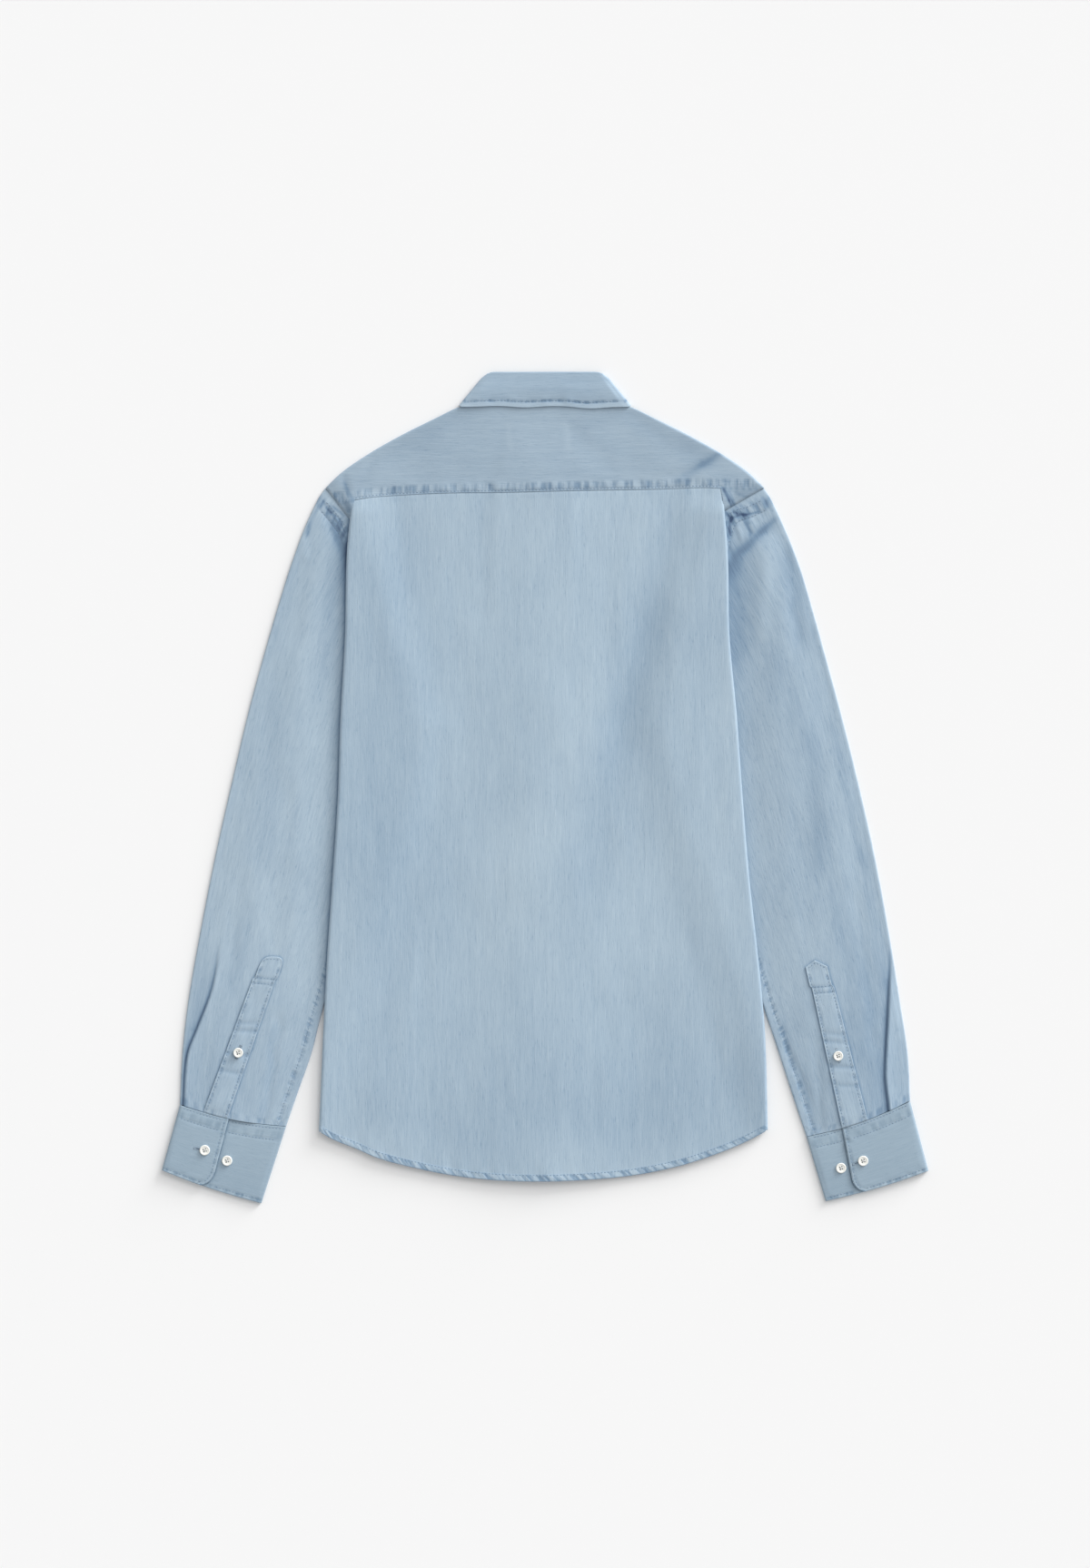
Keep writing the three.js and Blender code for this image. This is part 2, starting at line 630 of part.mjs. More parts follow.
function collarPiece({ pickTop, pickLow, backLow, bend, lift, frontLevel, ends }) {
  const rows = 4;
  const backParts = [0, 0.25, 0.5, 0.75, 1];
  const turns = [45, 90, 135];
  const middle = (high, low, turn) => (high + low) / 2 + ((high - low) / 2) * Math.cos(turn);
  const column = (sign, place) => {
    const points = [];
    for (let row = 0; row <= rows; row += 1) points.push(place(row / rows, sign));
    return points;
  };
  const root = collarTable[0];
  const half = (sign) => {
    const list = backParts.map((part) => column(sign, (v) => {
      const x = mix(pickTop(root).x, pickLow(root).x, v) * part * sign;
      const y = mix(pickTop(root).y, backLow(pickLow(root).x * part), v);
      return new THREE.Vector3(x, y, lift);
    }));
    turns.forEach((degrees) => list.push(column(sign, (v) => {
      const turn = THREE.MathUtils.degToRad(degrees);
      const out = bend * Math.sin(turn);
      const x = mix(pickTop(root).x, pickLow(root).x, v) + collarOut.x * out;
      const y = mix(pickTop(root).y, pickLow(root).y, v) + collarOut.y * out;
      return new THREE.Vector3(x * sign, y, middle(lift, frontLevel(sign, root), turn));
    })));
    [...collarTable, ...ends].forEach((station) => list.push(column(sign, (v) => {
      const x = mix(pickTop(station).x, pickLow(station).x, v);
      const y = mix(pickTop(station).y, pickLow(station).y, v);
      return new THREE.Vector3(x * sign, y, frontLevel(sign, station));
    })));
    return list;
  };
  const columns = [...half(-1).reverse(), ...half(1).slice(1)];
  const grid = [];
  for (let row = rows; row >= 0; row -= 1) grid.push(columns.map((points) => points[row]));
  return sheet(grid, { thick: COLLAR_CLOTH });
}

const fallLine = (station) => ({ x: station.fallX, y: station.fallY });
const outerLine = (station) => ({ x: station.outerX, y: station.outerY });
const neckLine = (station) => ({ x: station.neckX, y: station.neckY });

function standLevel(sign, station) {
  const raised = STAND_FRONT + 1.0 + (sign > 0 ? COLLAR_CLOTH + GAP : 0);
  return mix(STAND_FRONT, raised, ease(28, 14, station.neckX));
}

function collarLeaf() {
  return collarPiece({
    pickTop: fallLine,
    pickLow: outerLine,
    backLow: () => collarTable[0].outerY,
    bend: leafBend,
    lift: LEAF_BACK,
    frontLevel: () => LEAF_FRONT,
    ends: [],
  });
}

function collarStand() {
  return collarPiece({
    pickTop: fallLine,
    pickLow: neckLine,
    backLow: (x) => Math.max(yokeTop(x) + GAP + 0.1, collarTable[0].neckY),
    bend: standBend,
    lift: STAND_BACK,
    frontLevel: standLevel,
    ends: [STAND_END],
  });
}

// A sleeve: a flattened tube from the armhole to the cuff, flat on the surface
const SLEEVE_STATIONS = [0, 0.03, 0.08, 0.16, 0.26, 0.36, 0.46, 0.56, 0.66, 0.76, 0.86, 0.94, 1];
const SLEEVE_PARTS = [0, 0.12, 0.24, 0.36, 0.5, 0.64, 0.76, 0.88, 1];
const EDGE_TURNS = [45, 90, 135];

// A point part of the way along a chain of points
function along(points, part) {
  const lengths = points.slice(1).map((point, index) => (
    Math.hypot(point.x - points[index].x, point.y - points[index].y)));
  let left = part * lengths.reduce((sum, length) => sum + length, 0);
  let index = 0;
  while (index < lengths.length - 1 && left > lengths[index]) {
    left -= lengths[index];
    index += 1;
  }
  const share = left / lengths[index];
  const next = points[index + 1];
  return { x: mix(points[index].x, next.x, share), y: mix(points[index].y, next.y, share) };
}

function sleeveTube(side) {
  const bend = (SLEEVE_FLAT - CLOTH) / 2;
  const inset = bend + CLOTH / 2;
  const plan = (station, part) => {
    const outer = along(side.outer, station);
    const inner = along(side.inner, station);
    const length = Math.hypot(inner.x - outer.x, inner.y - outer.y);
    const share = (inset + part * (length - 2 * inset)) / length;
    const line = { x: mix(outer.x, inner.x, share), y: mix(outer.y, inner.y, share) };
    const seam = along(side.armhole, share);
    const bow = (1 - ease(0, 0.16, station));
    const unit = { x: (outer.x - inner.x) / length, y: (outer.y - inner.y) / length };
    const start = along(side.armhole, 0);
    const end = along(side.armhole, 1);
    const chord = { x: mix(start.x, end.x, share), y: mix(start.y, end.y, share) };
    return {
      x: line.x + (seam.x - chord.x) * bow,
      y: line.y + (seam.y - chord.y) * bow,
      unit,
    };
  };
  const off = GAP + 0.3;
  const place = (station, part, out, z) => {
    const { x, y, unit } = plan(station, part);
    const away = off * (1 - ease(0, 0.05, station));
    const bow = CUFF_BOW * Math.sin(Math.PI * part) * ease(0.88, 1, station);
    const shifted = y - away * 0.4 + unit.y * out - bow;
    return new THREE.Vector3(side.sign * (x + unit.x * out + away), shifted, z);
  };
  const upper = (station, part) => {
    const { x, y } = plan(station, part);
    return sleeveTop(side.sign * x, y) - CLOTH / 2;
  };
  const low = CLOTH / 2;
  const high = SLEEVE_FLAT - CLOTH / 2;
  const grid = SLEEVE_STATIONS.map((station) => {
    const ring = [];
    SLEEVE_PARTS.forEach((part) => ring.push(place(station, part, 0, low)));
    EDGE_TURNS.forEach((degrees) => {
      const turn = THREE.MathUtils.degToRad(180 - degrees);
      ring.push(place(station, 1, -bend * Math.sin(turn), (low + high) / 2 + bend * Math.cos(turn)));
    });
    [...SLEEVE_PARTS].reverse().forEach((part) => {
      const edge = part === 0 || part === 1;
      ring.push(place(station, part, 0, edge ? high : upper(station, part)));
    });
    EDGE_TURNS.forEach((degrees) => {
      const turn = THREE.MathUtils.degToRad(degrees);
      ring.push(place(station, 0, bend * Math.sin(turn), (low + high) / 2 + bend * Math.cos(turn)));
    });
    return ring;
  });
  return sheet(grid, { ring: true });
}

// A cuff: a band that starts at its free flap on top, goes round the outer edge, along
// the surface and round the inner edge, and ends under the flap
function cuffBand(side) {
  const { topOuter, topInner, lowOuter, lowInner, flapTop, flapLow } = side.cuff;
  const low = CUFF_CLOTH / 2;
  const under = low + CUFF_CLOTH + GAP;
  const flap = under + CUFF_CLOTH + GAP;
  const depth = 6;
  const width = Math.hypot(topInner.x - topOuter.x, topInner.y - topOuter.y);
  const outerInset = (flap - low) / 2 + CUFF_CLOTH / 2;
  const innerInset = (under - low) / 2 + CUFF_CLOTH / 2;
  const outerAxis = outerInset / width;
  const innerAxis = 1 - innerInset / width;
  const steps = [];
  const span = (from, to, count, z, isFlap) => {
    for (let step = 0; step <= count; step += 1) {
      steps.push({ share: mix(from, to, step / count), z, isFlap });
    }
  };
  const turn = (axis, out, from, to) => EDGE_TURNS.forEach((degrees) => {
    const angle = THREE.MathUtils.degToRad(degrees);
    const radius = Math.abs(from - to) / 2;
    const z = (from + to) / 2 + ((from - to) / 2) * Math.cos(angle);
    steps.push({ share: axis + (out * radius * Math.sin(angle)) / width, z, isFlap: false });
  });
  span(1, outerAxis, 6, flap, true);
  turn(outerAxis, -1, flap, low);
  span(outerAxis, innerAxis, 6, low, false);
  turn(innerAxis, 1, low, under);
  span(innerAxis, 0.24, 5, under, false);
  const grid = steps.map(({ share, z, isFlap }) => {
    const line = [];
    for (let row = 0; row <= depth; row += 1) {
      const part = row / depth;
      const flapEdge = mix(flapTop, flapLow, part);
      const real = isFlap ? mix(outerAxis, flapEdge, (share - outerAxis) / (1 - outerAxis)) : share;
      const corner = isFlap ? 0.16 * ease(0.62, 1, (share - outerAxis) / (1 - outerAxis)) : 0;
      const down = part * (1 - corner - (isFlap ? 0.02 : 0));
      const topX = mix(topOuter.x, topInner.x, real);
      const topY = mix(topOuter.y, topInner.y, real) - Math.sin(Math.PI * real) * CUFF_BOW;
      const lowX = mix(lowOuter.x, lowInner.x, real);
      const lowY = mix(lowOuter.y, lowInner.y, real) - Math.sin(Math.PI * real) * CUFF_LOW_BOW;
      const x = mix(topX, lowX, down);
      const y = mix(topY, lowY, down) - GAP;
      line.push(new THREE.Vector3(side.sign * x, y, z));
    }
    return line;
  });
  return sheet(grid, { thick: CUFF_CLOTH });
}

// The strip round the sleeve's slit, on the sleeve above the cuff
function sleevePlacket(side) {
  const { tip, top, low, pointed } = side.placket;
  const rows = 10;
  const shares = [0, 0.5, 1];
  const grid = [];
  const lay = (x, y) => {
    const z = sleeveTop(side.sign * x, y) + SLACK + CLOTH / 2;
    return new THREE.Vector3(side.sign * x, y, z);
  };
  for (let row = 0; row <= rows; row += 1) {
    const part = row / rows;
    grid.push(shares.map((share) => {
      const edge = {
        x: mix(mix(low.outer.x, top.outer.x, part), mix(low.inner.x, top.inner.x, part), share),
        y: mix(mix(low.outer.y, top.outer.y, part), mix(low.inner.y, top.inner.y, part), share),
      };
      return lay(edge.x, edge.y + 1);
    }));
  }
  grid.push(shares.map((share) => {
    const narrow = mix(0.82, 0.12, pointed);
    const spot = 0.5 + (share - 0.5) * narrow;
    const x = mix(top.outer.x, top.inner.x, spot);
    const y = mix(top.outer.y, top.inner.y, spot);
    const shiftX = tip.x - (top.outer.x + top.inner.x) / 2;
    const shiftY = tip.y - (top.outer.y + top.inner.y) / 2;
    return lay(x + shiftX, y + shiftY);
  }));
  return sheet(grid);
}

const EYE_OFFSET = 0.16;
const EYE_RADIUS = 0.75;

// A flat button, with four holes where it shows
function buttonDisc(size, holes) {
  const outline = new THREE.Shape();
  outline.absarc(0, 0, size / 2, 0, 2 * Math.PI, false);
  for (let hole = 0; hole < holes; hole += 1) {
    const angle = ((hole + 0.5) * Math.PI) / 2;
    const x = Math.cos(angle) * size * EYE_OFFSET;
    const y = Math.sin(angle) * size * EYE_OFFSET;
    const corners = [];
    for (let corner = 0; corner < 6; corner += 1) {
      const turn = (-corner * Math.PI) / 3;
      corners.push(new THREE.Vector2(x + EYE_RADIUS * Math.cos(turn), y + EYE_RADIUS * Math.sin(turn)));
    }
    outline.holes.push(new THREE.Path(corners));
  }
  const settings = { depth: BUTTON_THICK, bevelEnabled: false, curveSegments: 8 };
  return new THREE.ExtrudeGeometry(outline, settings);
}

function placeButton(name, x, y, z, geometry) {
  add(name, geometry, buttonWhite).position.set(x, y, z);
}

add('back_panel', backPanel(), denim);
add('yoke', yokePanel(), denim);
add('front_left', frontPanel(sides.left, leftFrontLevel), denim);
add('front_right', frontPanel(sides.right, rightFrontLevel), denim);
add('front_placket', frontStrip(), denim);
add('collar_leaf', collarLeaf(), denim);
add('collar_stand', collarStand(), denim);

Object.values(sides).forEach((side) => {
  add(`sleeve_${side.name}`, sleeveTube(side), denimSleeve);
  add(`sleeve_placket_${side.name}`, sleevePlacket(side), denimSleeve);
  add(`cuff_${side.name}`, cuffBand(side), denimCuff);
  side.buttons.forEach(({ name, x, y, size }) => {
    const under = {
      placket: sleeveTop(side.sign * x, y) + SLACK + CLOTH,
      cuff_outer: 3 * CUFF_CLOTH + 2 * GAP,
      cuff_inner: 2 * CUFF_CLOTH + GAP,
    };
    const button = buttonDisc(size, 4);
    placeButton(`button_${side.name}_${name}`, side.sign * x, y, under[name] + GAP, button);
  });
});

const FRONT_BUTTONS = 7;
const FRONT_BUTTON_TOP = 196;
const FRONT_BUTTON_STEP = 80;
for (let count = 0; count < FRONT_BUTTONS; count += 1) {
  const y = FRONT_BUTTON_TOP - count * FRONT_BUTTON_STEP;
  placeButton(`button_front_${count + 1}`, 0, y, 0, buttonDisc(CUFF_BUTTON, 0));
}
placeButton('button_collar', 0, 286, 0, buttonDisc(CUFF_BUTTON, 0));

// The origin is in the middle of the shirt's outline, on the surface
const outline = new THREE.Box3().setFromObject(shirt);
const middle = outline.getCenter(new THREE.Vector3());
shirt.position.set(-middle.x, -middle.y, 0);

export default shirt;
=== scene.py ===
"""A light denim shirt with long sleeves, laid flat with its back up.

Lengths are in millimetres until a mesh is made. X runs across the shirt, Y from the hem
to the collar and Z up from the floor, with the middle of the front edge at X = 0.
"""
import math

import bpy
import numpy as np
from mathutils import Matrix, Vector


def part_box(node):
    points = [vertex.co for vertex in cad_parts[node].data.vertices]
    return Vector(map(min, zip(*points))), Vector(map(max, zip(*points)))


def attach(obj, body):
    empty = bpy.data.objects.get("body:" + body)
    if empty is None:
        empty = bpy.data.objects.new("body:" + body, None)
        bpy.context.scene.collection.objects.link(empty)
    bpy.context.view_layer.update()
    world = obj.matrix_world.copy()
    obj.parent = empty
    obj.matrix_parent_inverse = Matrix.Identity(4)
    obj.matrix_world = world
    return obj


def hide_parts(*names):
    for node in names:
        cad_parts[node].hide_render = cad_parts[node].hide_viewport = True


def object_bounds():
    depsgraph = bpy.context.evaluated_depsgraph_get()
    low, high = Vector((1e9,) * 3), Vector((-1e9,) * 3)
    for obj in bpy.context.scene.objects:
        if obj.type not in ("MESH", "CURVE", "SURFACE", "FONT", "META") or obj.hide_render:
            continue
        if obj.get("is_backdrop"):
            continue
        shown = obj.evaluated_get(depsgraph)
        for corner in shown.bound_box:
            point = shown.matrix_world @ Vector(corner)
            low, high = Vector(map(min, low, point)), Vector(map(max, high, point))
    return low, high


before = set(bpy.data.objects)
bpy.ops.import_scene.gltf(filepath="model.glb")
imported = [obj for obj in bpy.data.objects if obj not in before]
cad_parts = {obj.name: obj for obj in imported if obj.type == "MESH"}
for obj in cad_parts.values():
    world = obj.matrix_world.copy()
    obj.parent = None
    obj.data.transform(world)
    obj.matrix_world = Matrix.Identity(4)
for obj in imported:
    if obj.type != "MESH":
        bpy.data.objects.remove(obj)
cad_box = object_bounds()

MM = 0.001
COLLAR_BUTTON_Y = 286.0
button_low, button_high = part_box("button_collar")
SHIFT = np.array([
    (button_low.x + button_high.x) / 2,
    (button_low.y + button_high.y) / 2 - COLLAR_BUTTON_Y * MM,
    0.0,
])

# Sizes shared with the solids
CLOTH = 1.0
CUFF_CLOTH = 1.6
COLLAR_CLOTH = 1.2
GAP = 0.3
SLACK = 0.6
PLEAT = 62.0
SLEEVE_FLAT = 2.6
SLEEVE_FULL = 4.6
CUFF_BOW = 4.0
CUFF_LOW_BOW = 2.0
BUTTON_THICK = 2.2
YOKE_STRIP = 29.0
YOKE_TIP = 212.4
BACK_RETURN = CLOTH / 2
FRONT_RETURN = BACK_RETURN + CLOTH + GAP
FRONT_LEVEL = FRONT_RETURN + CLOTH + SLACK
BACK_LEVEL = FRONT_LEVEL + CLOTH + SLACK
BACK_BEND = (BACK_LEVEL - BACK_RETURN) / 2
FRONT_BEND = (FRONT_LEVEL - FRONT_RETURN) / 2
FOLD_INSET = BACK_BEND + CLOTH / 2
SLEEVE_LIFT = SLEEVE_FLAT + GAP
STRIP_LEVEL = BUTTON_THICK + GAP + CLOTH / 2
LEFT_EDGE_LEVEL = STRIP_LEVEL + CLOTH + GAP
RIGHT_EDGE_LEVEL = LEFT_EDGE_LEVEL + CLOTH + GAP
CROWN_LEVEL = RIGHT_EDGE_LEVEL + CLOTH + SLACK
MIDDLE_LEVEL = 4.6
NECK_LEVEL = 3.6
LEAF_FRONT = COLLAR_CLOTH / 2
STAND_FRONT = LEAF_FRONT + COLLAR_CLOTH + GAP
STAND_BACK = STAND_FRONT + COLLAR_CLOTH + GAP
LEAF_BACK = STAND_BACK + COLLAR_CLOTH + GAP
UNDERARM = (129.4, 58.1)
# Where the doubled front edge ends, across, and where the side folds end, upwards
FLY = (24, 62)
FOLD_TOP = (262, 292)


def table(text):
    """A table written as text, with its column names on top, as arrays by name."""
    names, *rows = [line.split() for line in text.strip().split("\n")]
    return {name: np.array(column, float) for name, column in zip(names, zip(*rows))}


def ease(low, high, value):
    """A soft step from 0 at low to 1 at high, where low may also be the larger one."""
    part = np.clip((np.asarray(value, float) - low) / (high - low), 0.0, 1.0)
    return part * part * (3.0 - 2.0 * part)


def mix(start, end, part):
    return start + (end - start) * part


def bell(distance, wide):
    """A soft bump of height 1 round zero."""
    return np.exp(-((distance / wide) ** 2))


def reader(rows, key, value):
    """A smooth curve through a table, read by one column and giving another."""
    order = np.argsort(rows[key])
    k, v = rows[key][order], rows[value][order]
    slope = np.empty_like(v)
    slope[1:-1] = (v[2:] - v[:-2]) / (k[2:] - k[:-2])
    slope[0] = (v[1] - v[0]) / (k[1] - k[0])
    slope[-1] = (v[-1] - v[-2]) / (k[-1] - k[-2])

    def read(at):
        at = np.clip(np.asarray(at, float), k[0], k[-1])
        index = np.clip(np.searchsorted(k, at, side="right") - 1, 0, len(k) - 2)
        span = k[index + 1] - k[index]
        t = (at - k[index]) / span
        rise = t * t * (3 - 2 * t)
        lead = t * (1 - t) ** 2 * span * slope[index]
        tail = t * t * (1 - t) * span * slope[index + 1]
        return mix(v[index], v[index + 1], rise) + lead - tail

    return read


def vector(*parts):
    """Three arrays or numbers joined into points."""
    return np.stack(np.broadcast_arrays(*[np.asarray(part, float) for part in parts]), -1)


FOLD = table("""
y left right
279.8 186.6 172.5
225.3 191.8 176.9
146.1 193.6 178.6
66.9 198 185.7
-12.3 200.6 191.4
-91.5 205.9 198
-170.7 211.2 206.8
-241.1 214.7 213
-333.5 218.7 215.6
""")
HEM = table("""
x y
-218.2 -334.4
-204.2 -342.3
-182.2 -351.1
-161.9 -359.9
-129.4 -368.7
-84.5 -377.5
-36.1 -381.9
21 -381.9
80 -377.5
125.8 -368.7
154.9 -359.9
178.6 -351.1
198 -342.3
215.6 -332.6
""")
YOKE_SEAM = table("""
x y
-186 276.3
-164.6 279.8
-99.4 283.4
-34.3 284.2
35.2 286
105.6 287.3
152.2 288.9
172 288
""")
YOKE_TOP = table("""
x y
0 375
40 374.5
60 373
72 370.5
78 368.4
84.5 367
104.5 357.3
139.9 339.7
170.7 322.1
196.2 304.5
213 288.5
""")
YOKE_COLUMNS = table("""
seam top
0 0
0.16 30
0.3 56
0.4 72
0.48 84.5
0.6 104.5
0.74 136
0.86 165
0.95 184
1 196
""")
FRONT_TOP = table("""
x y
0 271.5
14 271.8
27 274.8
36 281.5
56 309.5
66 333
70 340.6
110 317
150 292.2
186 269
""")
COLLAR = table("""
fall_x fall_y outer_x outer_y neck_x neck_y
53.2 401.2 81.1 367.2 76.6 371.4
52 366 76.5 334 69 347
44 335 69 300 56 314.5
28 311 61 267 36 288
5 300 52 238 14 274.5
""")
COLLAR_TOP = (55.4, 403.0)
COLLAR_LOW = (83.3, 369.0)
STAND_END = {"fall": (-12.0, 298.5), "neck": (-12.0, 274.0)}
# Places on each side, as distances from the middle and heights. A sleeve's outer and inner
# edges run down to its cuff, and the crossing is where its armhole goes under the back.
SIDES = {
    "left": {
        "sign": -1,
        # how strong the painted shadow beside the body's fold is: strong on this side, away from the light
        "crevice": 1.0,
        "crossing": (190.5, 257.4),
        "corner": [(186.6, 270.0), (188.4, 257.6)],
        "front_end": (196.5, 267.5),
        "armhole": [
            (214.3, 286.7), (204.2, 275.9), (195.4, 264.9), (190.5, 257.4),
            (171.8, 196.5), (150.0, 122.0), (129.4, 58.1),
        ],
        "outer": [
            (214.7, 286.9), (220.0, 278.1), (232.3, 251.7), (242.0, 225.3),
            (250.8, 198.9), (266.6, 146.1), (286.0, 75.7), (302.7, 5.3),
            (318.6, -65.1), (332.6, -135.5), (345.0, -205.9), (351.1, -258.7),
            (353.5, -308.4),
        ],
        "inner": [
            (129.4, 58.1), (173.0, -80.0), (215.6, -217.4), (226.2, -258.7),
            (238.5, -293.9), (250.8, -329.6),
        ],
        "cuff": {
            "top_outer": (353.5, -308.9), "top_inner": (250.8, -330.0),
            "low_outer": (370.9, -371.4), "low_inner": (274.7, -403.6),
            "flap_top": 0.46, "flap_low": 0.49,
        },
        "placket": {
            "tip": (271.0, -165.4),
            "top_outer": (279.6, -178.6), "top_inner": (257.8, -179.5),
            "low_outer": (325.7, -303.0), "low_inner": (305.3, -317.0),
            "end": "round", "box": 1.6,
        },
        "buttons": {
            "placket": (296.7, -257.8), "cuff_outer": (329.1, -352.2),
            "cuff_inner": (307.7, -362.5),
        },
    },
    "right": {
        "sign": 1,
        # the painted shadow beside the body's fold is faint on this side, towards the light
        "crevice": 0.12,
        "crossing": (175.0, 267.5),
        "corner": [(171.8, 279.0), (172.8, 266.0)],
        "front_end": (183.0, 271.8),
        "armhole": [
            (213.4, 286.4), (205.7, 281.6), (194.5, 276.3), (175.0, 267.5),
            (163.0, 205.0), (146.0, 128.0), (129.4, 58.1),
        ],
        "outer": [
            (213.8, 286.9), (219.1, 278.1), (231.4, 251.7), (242.0, 225.3),
            (250.8, 198.9), (265.8, 146.1), (285.1, 75.7), (302.7, 5.3),
            (318.6, -65.1), (331.8, -135.5), (343.2, -205.9), (351.1, -258.7),
            (353.5, -305.0),
        ],
        "inner": [
            (129.4, 58.1), (172.0, -82.0), (214.3, -221.8), (220.9, -241.1),
            (232.3, -276.3), (243.8, -311.5), (253.3, -339.6),
        ],
        "cuff": {
            "top_outer": (353.5, -305.5), "top_inner": (253.3, -340.0),
            "low_outer": (371.2, -372.0), "low_inner": (271.8, -401.5),
            "flap_top": 0.655, "flap_low": 0.72,
        },
        "placket": {
            "tip": (262.6, -169.0),
            "top_outer": (277.4, -186.0), "top_inner": (256.2, -187.0),
            "low_outer": (311.6, -321.5), "low_inner": (286.6, -328.5),
            "end": "gable", "box": 1.8,
        },
        "buttons": {
            "placket": (283.6, -260.9), "cuff_outer": (307.7, -362.5),
            "cuff_inner": (286.5, -369.6),
        },
    },
}
seam_height = reader(YOKE_SEAM, "x", "y")
hem_height = reader(HEM, "x", "y")
yoke_top = reader(YOKE_TOP, "x", "y")
front_top = reader(FRONT_TOP, "x", "y")
for name, side in SIDES.items():
    side["name"] = name
    side["fold"] = reader(FOLD, "y", name)
    for edge in ("outer", "inner"):
        points = np.array(side[edge])
        side[edge + "_at"] = reader({"x": points[:, 0], "y": points[:, 1]}, "y", "x")


def by_side(x, read):
    """What read gives for each point's own side."""
    return np.where(np.asarray(x) < 0, read(SIDES["left"]), read(SIDES["right"]))


def sleeve_lift(x, y):
    """How high the body lies on the hidden part of a sleeve."""
    def away(side):
        across, along = side["crossing"]
        edge_x, edge_y = side["inner"][2]
        arm = (across - UNDERARM[0]) / (along - UNDERARM[1])
        under = (edge_x - UNDERARM[0]) / (UNDERARM[1] - edge_y)
        above = UNDERARM[0] + (y - UNDERARM[1]) * arm
        below = UNDERARM[0] + (UNDERARM[1] - y) * under
        return np.maximum(above, below) - np.abs(x)
    return SLEEVE_LIFT * (1 - ease(12, 62, by_side(x, away))) * (1 - ease(*FOLD_TOP, y))


def axis_x(side, y):
    return side["fold"](y) - FOLD_INSET


def from_pleat(x, y):
    """How far a point is from the hidden side seam, towards the middle."""
    def read(side):
        along = side["crossing"][1]
        width = PLEAT * np.clip((along - y) / (along - UNDERARM[1]), 0, 1)
        return axis_x(side, y) - width - np.abs(x)
    return by_side(x, read)


def front_rise(x, y):
    at_edge = (LEFT_EDGE_LEVEL - CLOTH / 2) * (1 - ease(*FLY, np.abs(x)))
    reach = np.hypot(np.maximum(np.abs(x) - 84, 0), np.maximum(236 - y, 0))
    on_leaf = (COLLAR_CLOTH + GAP) * (1 - ease(8, 48, reach))
    pleat = (FRONT_LEVEL - CLOTH / 2) * (1 - ease(8, 40, from_pleat(x, y)))
    folded = pleat * (1 - ease(*FOLD_TOP, y)) + sleeve_lift(x, y)
    return np.maximum(np.maximum(at_edge, on_leaf), folded)


def left_front_level(x, y):
    return CLOTH / 2 + front_rise(x, y)


def right_front_level(x, y):
    return left_front_level(x, y) + (CLOTH + GAP) * (1 - ease(*FLY, x))


def top_level(x, y):
    """The middle of the top layer of the solids: the back and the yoke."""
    crown = mix(CROWN_LEVEL, NECK_LEVEL, ease(286, 370, y))
    between = mix(MIDDLE_LEVEL, NECK_LEVEL, ease(262, 330, y))
    open_part = mix(crown, between, ease(0, 95, np.abs(x)))
    pleat = (1 - ease(2, 64, from_pleat(x, y))) * (1 - ease(262, 318, y))
    folded = np.maximum(open_part, BACK_LEVEL + sleeve_lift(x, y))
    return mix(open_part, folded, pleat)


def sleeve_top(x, y):
    """The height of a sleeve's top over the floor."""
    def read(side):
        distance = np.abs(x)
        from_outer = ease(0, 40, side["outer_at"](y) - distance)
        inner = np.maximum(side["inner_at"](y), side["fold"](y))
        from_inner = ease(4, 44, distance - inner) * (1 - ease(225, 262, y))
        return mix(SLEEVE_FLAT, SLEEVE_FULL, from_outer * from_inner)
    return by_side(x, read)


# Creases are soft troughs, or ridges where the depth is below zero. Each row is one
# stretch between two points, with the half width and the depth. The shade and wear
# tables are the same, for painted shade along creases, folds and seams together with
# bluer wear; there a depth below zero makes the cloth paler.
BACK_CREASES = table("""
x0 y0 x1 y1 wide deep
124 272 99 150 13 0.9
99 150 76 58 15 0.9
76 58 44 -74 19 0.7
150 278 138 190 8 0.35
92 262 70 170 9 -0.35
-140 276 -136 150 12 0.5
-62 280 -60 176 10 0.5
-100 262 -98 120 14 -0.3
22 276 12 190 11 0.3
160 120 156 -40 16 0.2
-172 190 -168 20 12 0.35
-40 60 -70 -120 26 0.45
110 -120 96 -300 22 0.4
-120 -180 -104 -340 20 0.35
180 -200 196 -330 9 0.3
""")
BACK_SHADE_AND_WEAR = table("""
x0 y0 x1 y1 wide deep
126 274 99 150 18 0.1
99 150 74 55 21 0.11
74 55 44 -74 26 0.15
160 240 150 60 16 0.06
-140 278 -138 190 16 0.07
-62 282 -60 210 12 0.08
110 282 106 220 10 0.05
24 282 20 240 12 0.04
-110 -120 -90 -260 34 0.04
-30 -320 120 -330 26 0.06
-170 -310 -60 -350 20 0.05
-150 180 -150 -120 50 0.13
-150 -290 150 -290 60 0.12
""")
YOKE_CREASES = table("""
x0 y0 x1 y1 wide deep
172.8 287 177 277 1.3 0.5
177 277 180.5 271 1.4 0.5
174.5 286 181 276 1.3 0.4
-198 277 -191 265 1.4 0.4
-194 275 -189.5 267 1.3 0.4
166 319 134 304 3 0.7
134 304 96 292 5 0.3
196 296 176 288 2.6 0.6
-186 279 -195 297 2.4 0.9
-180 284 -170 310 5 0.4
86 358 150 318 8 0.35
-88 356 -150 322 8 0.3
30 340 60 310 9 0.3
-40 345 -52 300 9 0.3
""")
